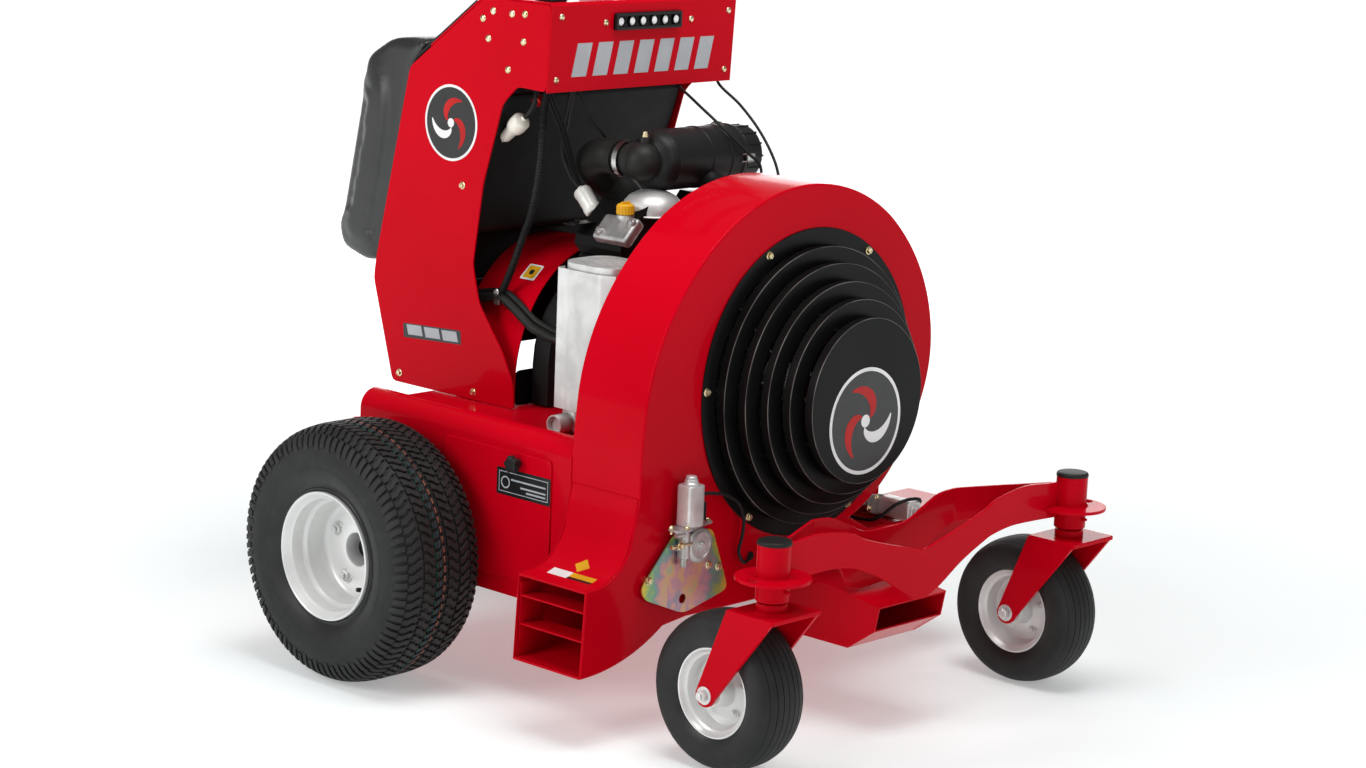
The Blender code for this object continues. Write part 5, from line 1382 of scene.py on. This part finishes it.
def guard_arch():
    half_w, height, base = 0.226, 0.258, 0.520
    turns = [math.radians(angle) for angle in range(0, 181, 4)]
    over = [(-half_w * math.cos(a), base + height * math.sin(a)) for a in turns]
    path = [(-half_w, DECK_Z + 0.001)] + over + [(half_w, DECK_Z + 0.001)]
    piece("guard_arch_sheet", bent(path, "XZ", 0.155, 0.315, 0.003, 0.0009), RED, crease=30,
          stands_for="guard_arch")
    low_plate = softened([(-0.218, DECK_Z + 0.0005), (0.218, DECK_Z + 0.0005), (0.218, 0.548),
                          (-0.218, 0.548)], 0.012)
    piece("belt_cover", slab([low_plate], "XZ", 0.158, 0.162, 0.001), BLACK)
    a = math.radians(52)
    spot = Vector((-half_w * math.cos(a), 0.205, base + height * math.sin(a)))
    normal = Vector((-math.cos(a) / half_w, 0, math.sin(a) / height)).normalized()
    along = Vector((normal.z, 0, -normal.x))
    turn = Matrix.Translation(spot + normal * 0.0002) @ Matrix((
        (Y.x, along.x, normal.x, 0), (Y.y, along.y, normal.y, 0), (Y.z, along.z, normal.z, 0), (0, 0, 0, 1)))
    diamond = [(-0.019, -0.019), (0.019, -0.019), (0.019, 0.019), (-0.019, 0.019)]
    for name, share, high, paint in (("arch_marker_rim", 1.0, 0.0004, DECAL_WHITE),
                                     ("arch_marker", 0.80, 0.0006, YELLOW),
                                     ("arch_marker_dot", 0.30, 0.0008, DECAL_BLACK)):
        piece(name, moved(slab([softened([(u * share, v * share) for u, v in diamond], 0.003)], "XY", 0, high,
                               0), turn), paint)


def cables():
    throttle = [(0.114, 0.084, 1.115), (0.112, 0.080, 1.085), (0.090, 0.015, 1.060), (0.082, -0.060, 1.023),
                (0.120, -0.104, 0.970), (0.136, -0.121, 0.946), (0.128, -0.126, 0.900),
                (0.100, -0.112, 0.852)]
    choke = [(0.226, 0.084, 1.115), (0.227, 0.080, 1.080), (0.240, 0.030, 1.040), (0.238, -0.030, 0.990),
             (0.227, -0.082, 0.932), (0.205, -0.105, 0.885), (0.150, -0.112, 0.850)]
    for name, route, node in (("throttle_cable_jacket", throttle, "throttle_cable"),
                              ("choke_cable_jacket", choke, "choke_cable")):
        piece(name, pipe(smooth_route(route, 9), 0.0028, 14), HOSE, stands_for=node)


# Tower


def edge_trim():
    """The rubber strip on the slanted rear edge of each side panel."""
    strips = []
    for _, side in SIDES:
        x = side * (TOWER_X - 0.0035)
        strips.append(pipe([(x, 0.425, 1.1195), (x, 0.350, 1.1743), (x, 0.265, 1.2365)], 0.0034, 10))
    piece("tower_edge_trim", merged(*strips), HOSE)


def side_bolts():
    bolts = []
    for _, side in SIDES:
        x = side * (TOWER_X + 0.0002)
        for y, z in ((0.244, 1.207), (0.217, 1.223), (0.166, 1.222), (0.132, 1.224), (0.228, 1.171),
                     (0.134, 1.173), (0.173, 1.118)):
            bolts.append(dome_bolt((x, y, z), X * side, 0.0072))
        for y, z in ((0.289, 0.888), (0.244, 0.496), (0.455, 0.500)):
            bolts.append(hex_bolt((x, y, z), X * side, 0.0095))
    for x, z in ((-0.222, 1.224), (-0.226, 1.108), (-0.106, 1.210), (0.124, 1.209), (0.228, 1.222),
                 (0.228, 1.108)):
        bolts.append(dome_bolt((x, console_front(z) - 0.0003, z), -Y, 0.0062))
    piece("tower_bolts", merged(*bolts), ZINC)


def console_front(z):
    """Where the console's front face is at a height."""
    return 0.0685 - (z - 1.085) / 0.1595 * 0.008


def tower():
    dress(RED, "tower_panel_left", "tower_panel_right", edge=0.0011)
    dress(RED, "console_housing", edge=0.0009)
    dress(BLACK, "tower_rear_panel", edge=0.0008)
    dress(TANK, "fuel_tank", edge=0.004)
    side_bolts()
    edge_trim()
    light_bar()
    for side_name, side in SIDES:
        shield_badge(f"tower_badge_{side_name}", (0.325, 1.003), 0.145, "YZ", side * TOWER_X, side)
        x = side * TOWER_X
        stripes = []
        for i in range(3):
            u = 0.432 - i * 0.050
            shape = [(u, 0.579 + i * 0.002), (u - 0.042, 0.5815 + i * 0.002), (u - 0.036, 0.601 + i * 0.002),
                     (u + 0.006, 0.5985 + i * 0.002)]
            low, high = sorted((x + side * 0.0001, x + side * 0.0004))
            stripes.append(slab([shape], "YZ", low, high, 0))
        piece(f"tower_side_stripes_{side_name}", merged(*stripes), DECAL_GREY)
        low, high = sorted((x, x + side * 0.0002))
        backing = softened([(0.445, 0.572), (0.281, 0.582), (0.284, 0.609), (0.448, 0.600)], 0.004)
        piece(f"tower_side_backing_{side_name}", slab([backing], "YZ", low, high, 0), DECAL_BLACK)
    bars = []
    for i in range(7):
        low_x = -0.188 + i * 0.055
        lean = 0.012
        low_z, high_z = 1.112, 1.174
        corners = [(low_x, low_z), (low_x + 0.038, low_z), (low_x + 0.038 + lean, high_z),
                   (low_x + lean, high_z)]
        bars.append(([Vector((x, console_front(z) - d, z)) for d in (0.00015, 0.00045) for x, z in corners],
                     [[0, 1, 2, 3], [4, 5, 6, 7], [0, 1, 5, 4], [1, 2, 6, 5], [2, 3, 7, 6], [3, 0, 4, 7]]))
    piece("console_stripes", merged(*bars), DECAL_GREY)


def light_bar():
    low_x, high_x, low_z, high_z = -0.086, 0.091, 1.195, 1.227
    back = console_front(1.211) - 0.0002
    outline = softened([(low_x, low_z), (high_x, low_z), (high_x, high_z), (low_x, high_z)], 0.004)
    opening = softened([(low_x + 0.006, low_z + 0.006), (high_x - 0.006, low_z + 0.006),
                        (high_x - 0.006, high_z - 0.006), (low_x + 0.006, high_z - 0.006)], 0.003)
    shapes = [slab([outline, opening], "XZ", back - 0.0085, back + 0.001, 0.0012),
              slab([outline], "XZ", back - 0.0030, back + 0.001, 0)]
    piece("light_bar_frame", merged(*shapes), PLASTIC)
    step = (high_x - low_x - 0.029) / 5
    places = [(low_x + 0.0145 + i * step, back - 0.0030, 1.211) for i in range(6)]
    cup = [(0, 0.0046), (0.0040, 0.0044), (0.0066, 0.0034), (0.0082, 0.0018), (0.0090, 0.0), (0, 0)]
    piece("light_bar_lenses", merged(*[turned(cup, -Y, place, 24) for place in places]), LED)
    bezel = [(0.0092, 0.0048), (0.0106, 0.0046), (0.0110, 0), (0.0092, 0)]
    bezels = [turned(bezel, -Y, place, 24, ring=True) for place in places]
    piece("light_bar_bezels", merged(*bezels), BLACK)


def thigh_pad():
    """The pad, blown up from a block."""
    outline = [(0.408, 1.1510), (0.510, 1.1450), (0.575, 1.1110), (0.600, 1.0530), (0.6620, 0.7590),
               (0.6460, 0.7180), (0.575, 0.7000), (0.5330, 0.7080), (0.4500, 1.1000), (0.408, 1.1340)]
    half = TOWER_X - 0.0065
    shape = slab([softened(outline, 0.018, 4)], "YZ", -half, half, 0.017)
    pad = piece("thigh_pad_cover", shape, VINYL, stands_for="thigh_pad")
    remesh(pad, 0.0055)
    inflate(pad, 4.0, 0.006)
    smooth = pad.modifiers.new("smooth", "SMOOTH")
    smooth.factor, smooth.iterations = 0.5, 3
    finer = pad.modifiers.new("finer", "SUBSURF")
    finer.levels = finer.render_levels = 1
    keep_result(pad)
    pad.data.shade_smooth()


def remesh(thing, size):
    step = thing.modifiers.new("remesh", "REMESH")
    step.mode = "VOXEL"
    step.voxel_size = size
    keep_result(thing)


def keep_result(thing):
    """Applies every modifier."""
    bpy.context.view_layer.update()
    graph = bpy.context.evaluated_depsgraph_get()
    mesh = bpy.data.meshes.new_from_object(thing.evaluated_get(graph))
    thing.modifiers.clear()
    old = thing.data
    name = old.name
    thing.data = mesh
    bpy.data.meshes.remove(old)
    mesh.name = name


def inflate(thing, pressure, furthest):
    """Cloth under pressure, with no gravity, and no point moved further than a limit."""
    before = [v.co.copy() for v in thing.data.vertices]
    step = thing.modifiers.new("cloth", "CLOTH")
    step.settings.use_pressure = True
    step.settings.uniform_pressure_force = pressure
    step.settings.effector_weights.gravity = 0
    step.settings.quality = 4
    step.settings.tension_stiffness = 20
    step.settings.bending_stiffness = 4
    step.point_cache.frame_start, step.point_cache.frame_end = 1, 20
    for number in range(1, 21):
        SCENE.frame_set(number)
    keep_result(thing)
    SCENE.frame_set(1)
    for vertex, start in zip(thing.data.vertices, before):
        move = vertex.co - start
        if move.length > furthest:
            vertex.co = start + move * (furthest / move.length)


def handlebar():
    top = CONSOLE_Z + 0.0005
    foot_x = 0.215
    half = [(foot_x, 0.098, top), (foot_x, 0.097, top + 0.020), (foot_x, 0.095, 1.306),
            (foot_x - 0.006, 0.092, 1.330), (foot_x - 0.030, 0.0900, 1.3448)]
    whole = smooth_route([(-x, y, z) for x, y, z in half[:-1]] + [(-x, y, z) for x, y, z in half[-1:]], 8)
    middle = [(-0.185 + 0.37 * i / 10, 0.0900, 1.3448) for i in range(1, 10)]
    route = whole + [Vector(p) for p in middle] + [Vector((-p.x, p.y, p.z)) for p in whole[::-1]]
    feet = []
    for side in (-1, 1):
        foot = softened([(side * foot_x - 0.020, 0.074), (side * foot_x + 0.020, 0.074),
                         (side * foot_x + 0.020, 0.122), (side * foot_x - 0.020, 0.122)], 0.006)
        feet.append(slab([foot], "XY", top - 0.0003, top + 0.004, 0.0008))
        feet.append(weld([(side * foot_x + 0.011 * math.cos(a), 0.098 + 0.011 * math.sin(a), top + 0.0045)
                          for a in [math.radians(t) for t in range(0, 361, 30)]], 0.0015, 41))
    piece("hand_bar", merged(pipe(route, 0.0102, 28), *feet), BLACK, stands_for="front_handlebar")
    bolts = [dome_bolt((side * foot_x + dx, y, top + 0.004), Z, 0.0045)
             for side in (-1, 1) for dx in (-0.014, 0.014) for y in (0.080, 0.116)]
    piece("hand_bar_bolts", merged(*bolts), ZINC)


def controls():
    for side_name, side in SIDES:
        x, y = side * 0.11, 0.200
        low, high = 1.184, 1.322
        arm = softened([(y - 0.009, low), (y + 0.009, low), (y + 0.007, high), (y - 0.007, high)], 0.005)
        shapes = [slab([arm], "YZ", x - 0.0035, x + 0.0035, 0.0010),
                  pipe([(side * 0.050, y, 1.330), (side * 0.172, y, 1.330)], 0.0075, 24)]
        piece(f"lever_arm_{side_name}", merged(*shapes), BLACK, f"{side_name}_drive_lever",
              stands_for=f"drive_lever_{side_name}")
        ends = sorted((side * 0.046, side * 0.1745))
        profile = [(0, ends[0]), (0.0105, ends[0]), (0.0132, ends[0] + 0.003)]
        rings = 22
        for i in range(rings):
            at = ends[0] + 0.006 + (ends[1] - ends[0] - 0.012) * i / (rings - 1)
            profile += [(0.0132, at - 0.0018), (0.0124, at - 0.0008), (0.0124, at + 0.0004),
                        (0.0132, at + 0.0012)]
        profile += [(0.0132, ends[1] - 0.003), (0.0105, ends[1]), (0, ends[1])]
        piece(f"lever_grip_{side_name}", turned(profile, X, (0, y, 1.330), 36), HOSE,
              f"{side_name}_drive_lever", crease=50)
    top = CONSOLE_Z + 0.0005
    dress(STEEL, "throttle_lever", edge=0.0006)
    dress(PLASTIC, "choke_knob", "ignition_key", "deflector_joystick", edge=0.0006)
    x, y = 0.0, 0.196
    cap = [(0, 0.0225), (0.0270, 0.0225), (0.0300, 0.0210), (0.0315, 0.0180), (0.0318, 0.0010),
           (0.0300, 0.0003), (0, 0.0003)]
    shapes = [turned(cap, Z, (x, y, top), 56)]
    for i in range(28):
        a = 2 * math.pi * i / 28
        shapes.append(pipe([(x + 0.0316 * math.cos(a), y + 0.0316 * math.sin(a), top + 0.0020),
                            (x + 0.0316 * math.cos(a), y + 0.0316 * math.sin(a), top + 0.0178)], 0.0018, 8))
    piece("fuel_cap_moulding", merged(*shapes), PLASTIC, "fuel_filler_cap", stands_for="fuel_cap")
    collars = [turned([(0.0345, 0.004), (0.0420, 0.0032), (0.0440, 0), (0.0345, 0)], Z, (x, y, top), 56,
                      ring=True)]
    for x, y, r in ((0.190, 0.120, 0.012), (0.195, 0.185, 0.0125), (0, 0.105, 0.020)):
        collars.append(turned([(r * 0.80, 0.0026), (r * 1.25, 0.0020), (r * 1.4, 0), (r * 0.80, 0)], Z,
                              (x, y, top), 36, ring=True))
    piece("console_collars", merged(*collars), PLASTIC)
    plate = softened([(-0.205, 0.112), (-0.155, 0.112), (-0.155, 0.178), (-0.205, 0.178)], 0.004)
    slot = [(-0.184, 0.118), (-0.176, 0.118), (-0.176, 0.172), (-0.184, 0.172)]
    piece("throttle_plate", slab([plate, slot], "XY", top, top + 0.0015, 0.0004), DECAL_BLACK)


def loom():
    """What shows in the tower's opening: filters, a corrugated loom, hoses and their clips."""
    route = smooth_route([(-0.202, 0.115, 1.080), (-0.202, 0.121, 1.046), (-0.202, 0.124, 0.990),
                          (-0.200, 0.134, 0.914), (-0.199, 0.152, 0.845), (-0.198, 0.170, 0.805),
                          (-0.196, 0.200, 0.740), (-0.195, 0.226, 0.690)], 10)
    total = len(route) - 1
    ridges = 150
    fine = []
    for i in range(ridges * 2 + 1):
        spot = i / (ridges * 2) * total
        k = min(int(spot), total - 1)
        fine.append(route[k].lerp(route[k + 1], spot - k))
    corrugated = pipe(fine, lambda share: 0.0062 if round(share * ridges * 2) % 2 else 0.0074, 12)
    others = []
    for shift, radius in ((0.0, 0.0032), (0.008, 0.0026), (-0.008, 0.0026)):
        others.append(pipe(smooth_route([(-0.196 + shift, 0.118, 1.080), (-0.186 + shift, 0.112, 1.050),
                                         (-0.160 + shift, 0.112, 1.005), (-0.126 + shift * 0.6, 0.118, 0.935),
                                         (-0.106 + shift * 0.3, 0.122, 0.903)], 8), radius, 10))
    others.append(pipe(smooth_route([(-0.120, 0.112, 1.080), (-0.098, 0.104, 1.030), (-0.060, 0.094, 0.985),
                                     (-0.030, 0.100, 0.950)], 8), 0.0028, 10))
    piece("wiring_loom", merged(corrugated, *others), LOOM)
    hose = smooth_route([(-0.205, 0.330, 0.660), (-0.203, 0.289, 0.669), (-0.202, 0.228, 0.678),
                         (-0.202, 0.190, 0.664), (-0.202, 0.143, 0.637), (-0.200, 0.110, 0.626),
                         (-0.198, 0.075, 0.619), (-0.190, 0.045, 0.618)], 8)
    second = [Vector((p.x + 0.013, p.y, p.z + 0.009)) for p in hose]
    piece("fuel_hoses", merged(pipe(hose, 0.0088, 18), pipe(second, 0.0065, 14)), HOSE)
    grip = [bent([(-0.2145, 0.6655), (-0.2145, 0.6755), (-0.2095, 0.6805), (-0.1935, 0.6805),
                  (-0.1895, 0.6755)], "XZ", 0.215,
                 0.229, 0.0014, 0.0005)]
    piece("hose_clip", merged(*grip, hex_bolt((-0.2152, 0.222, 0.6905), -X, 0.008)), STEEL)
    way = (Vector((-0.212, 0.160, 1.030)) - Vector((-0.212, 0.226, 0.976))).normalized()
    cone = [(0, 0.088), (0.0046, 0.088), (0.0052, 0.079), (0.0150, 0.076), (0.0180, 0.072), (0.0185, 0.056),
            (0.0172, 0.052), (0.0172, 0.048), (0.0128, 0.042), (0.0112, 0.018), (0.0088, 0.012),
            (0.0044, 0.008), (0.0038, -0.014), (0, -0.014)]
    piece("inline_filter", turned(cone, way, (-0.212, 0.226, 0.976), 36), CLEAR)
    piece("inline_filter_cap", turned([(0, 0.017), (0.0085, 0.017), (0.0095, 0.015), (0.0095, 0.001), (0, 0)],
                                      way, (-0.196, 0.150, 1.056), 28), CAP_RED)
    piece("inline_filter_hose", merged(
        pipe(smooth_route([Vector((-0.212, 0.226, 0.976)) + way * 0.084,
                           Vector((-0.212, 0.226, 0.976)) + way * 0.098, (-0.206, 0.142, 1.058),
                           (-0.200, 0.145, 1.082)], 6), 0.0050, 14),
        pipe(smooth_route([(-0.212, 0.233, 0.970), (-0.210, 0.250, 0.955), (-0.206, 0.262, 0.930),
                           (-0.196, 0.262, 0.880)], 6),
             0.0048, 14)), HOSE)
    way = (Vector((-0.100, 0.077, 0.847)) - Vector((-0.100, 0.122, 0.893))).normalized()
    can = [(0, 0.068), (0.0050, 0.068), (0.0055, 0.060), (0.0150, 0.058), (0.0172, 0.054), (0.0178, 0.047),
           (0.0168, 0.045), (0.0168, 0.018), (0.0178, 0.016), (0.0178, 0.009), (0.0158, 0.005),
           (0.0050, 0.003), (0.0045, -0.008), (0, -0.008)]
    piece("canister_filter", turned(can, way, (-0.100, 0.122, 0.893), 36), WHITE)
    piece("canister_filter_hoses", merged(
        pipe(smooth_route([(-0.100, 0.124, 0.895), (-0.108, 0.140, 0.915), (-0.122, 0.150, 0.960),
                           (-0.135, 0.130, 1.020), (-0.140, 0.110, 1.082)], 8), 0.0058, 14),
        pipe(smooth_route([(-0.100, 0.076, 0.846), (-0.098, 0.062, 0.828), (-0.086, 0.050, 0.812),
                           (-0.060, 0.058, 0.800)], 8),
             0.0058, 14)), HOSE)
    bracket = [box((-0.215, 0.018, 0.8435), (-0.128, 0.048, 0.8465), 0.001),
               box((-0.131, 0.018, 0.770), (-0.128, 0.048, 0.846), 0.001)]
    piece("filler_bracket", merged(*bracket, hex_bolt((-0.195, 0.033, 0.8465), Z, 0.009)), BLACK)
    coils = [box((-0.105, 0.060, 0.730), (-0.060, 0.100, 0.792), 0.006), pipe(smooth_route(
        [(-0.105, 0.080, 0.770), (-0.140, 0.070, 0.778), (-0.170, 0.045, 0.762), (-0.185, 0.030, 0.730)], 8),
        0.0042, 12)]
    piece("ignition_coil_and_lead", merged(*coils), HOSE)


# Camera, lights and floor


def camera():
    yaw, pitch, roll = math.radians(47.0), -0.20021, 0.04006
    ahead = Vector((math.sin(yaw) * math.cos(pitch), math.cos(yaw) * math.cos(pitch), math.sin(pitch)))
    right = Vector((math.cos(yaw), -math.sin(yaw), 0))
    up = right.cross(ahead)
    rolled_right = math.cos(roll) * right + math.sin(roll) * up
    rolled_up = math.cos(roll) * up - math.sin(roll) * right
    made = bpy.data.objects.new("camera", bpy.data.cameras.new("camera"))
    SCENE.collection.objects.link(made)
    made.matrix_world = Matrix.Translation((-4.3151, -4.0946, 1.7264)) @ Matrix(
        (rolled_right, rolled_up, -ahead)).transposed().to_4x4()
    made.data.lens, made.data.sensor_width, made.data.shift_y = 83.80, 36, 0.0023
    made.data.clip_end = 200
    SCENE.camera = made


def softbox(name, at, aim, width, height, watts, tint=(1, 1, 1)):
    light = bpy.data.lights.new(name, "AREA")
    light.shape = "RECTANGLE"
    light.size, light.size_y, light.energy, light.color = width, height, watts, tint
    made = bpy.data.objects.new(name, light)
    SCENE.collection.objects.link(made)
    made.location = at
    made.rotation_euler = (Vector(aim) - Vector(at)).to_track_quat("-Z", "Y").to_euler()


def studio():
    floor_mesh = bpy.data.meshes.new("studio_floor")
    reach = 40
    floor_mesh.from_pydata([(-reach, -reach, 0), (reach, -reach, 0), (reach, reach, 0), (-reach, reach, 0)],
                           [], [(0, 1, 2, 3)])
    floor = bpy.data.objects.new("studio_floor", floor_mesh)
    SCENE.collection.objects.link(floor)
    # The floor colour leans slightly cyan to offset the red light bounced onto it from the machine: painted
    # light.
    pale = Paint("studio_floor", "silver_paint", (0.75, 0.80, 0.80), 0.9, Specular_IOR_Level=0.0)
    pale.mottle((0.745, 0.79, 0.79), (0.76, 0.81, 0.81), 3, 0.85, 0.95)
    away = pale.node("ShaderNodeVectorMath", {"operation": "LENGTH"}, i0=pale.here).outputs["Value"]
    # The floor glows, dimmer near the machine and brighter far off, so it reads white while shadows still
    # show: painted light.
    pale.put("Emission Color", (1, 1, 1, 1))
    pale.put("Emission Strength", pale.band(away, 1.0, 3.6, 0.32, 0.86))
    floor_mesh.materials.append(pale.data)
    world = bpy.data.worlds.new("studio")
    world.use_nodes = True
    tree = world.node_tree
    background = tree.nodes["Background"]
    background.inputs["Color"].default_value = (1, 1, 1, 1)
    seen = tree.nodes.new("ShaderNodeLightPath").outputs["Is Camera Ray"]
    strength = tree.nodes.new("ShaderNodeMapRange")
    strength.inputs["To Min"].default_value = 0.28
    strength.inputs["To Max"].default_value = 1.0
    tree.links.new(seen, strength.inputs["Value"])
    tree.links.new(strength.outputs["Result"], background.inputs["Strength"])
    SCENE.world = world
    softbox("overhead", (-0.4, -0.7, 3.4), (0, -0.1, 0.5), 2.2, 1.4, 60)
    softbox("left_side", (-3.6, 1.0, 2.2), (-0.2, 0, 0.6), 1.4, 2.2, 62)
    softbox("front", (-1.4, -4.4, 2.4), (0, -0.2, 0.6), 1.0, 2.2, 26)
    softbox("backdrop", (3.9, 4.2, 1.5), (0, 0, 0.9), 5.0, 2.2, 95)
    SCENE.view_settings.view_transform = "Standard"


camera()
housing()
intake_grille()
right_actuator()
left_actuator()
front_beam()
for side_name, side in SIDES:
    spindle(side_name, side)
    caster(side_name, side)
    rear_wheel(side_name, side)
chassis()
platform()
engine()
guard_arch()
cables()
tower()
thigh_pad()
handlebar()
controls()
loom()
studio()
bpy.context.view_layer.update()
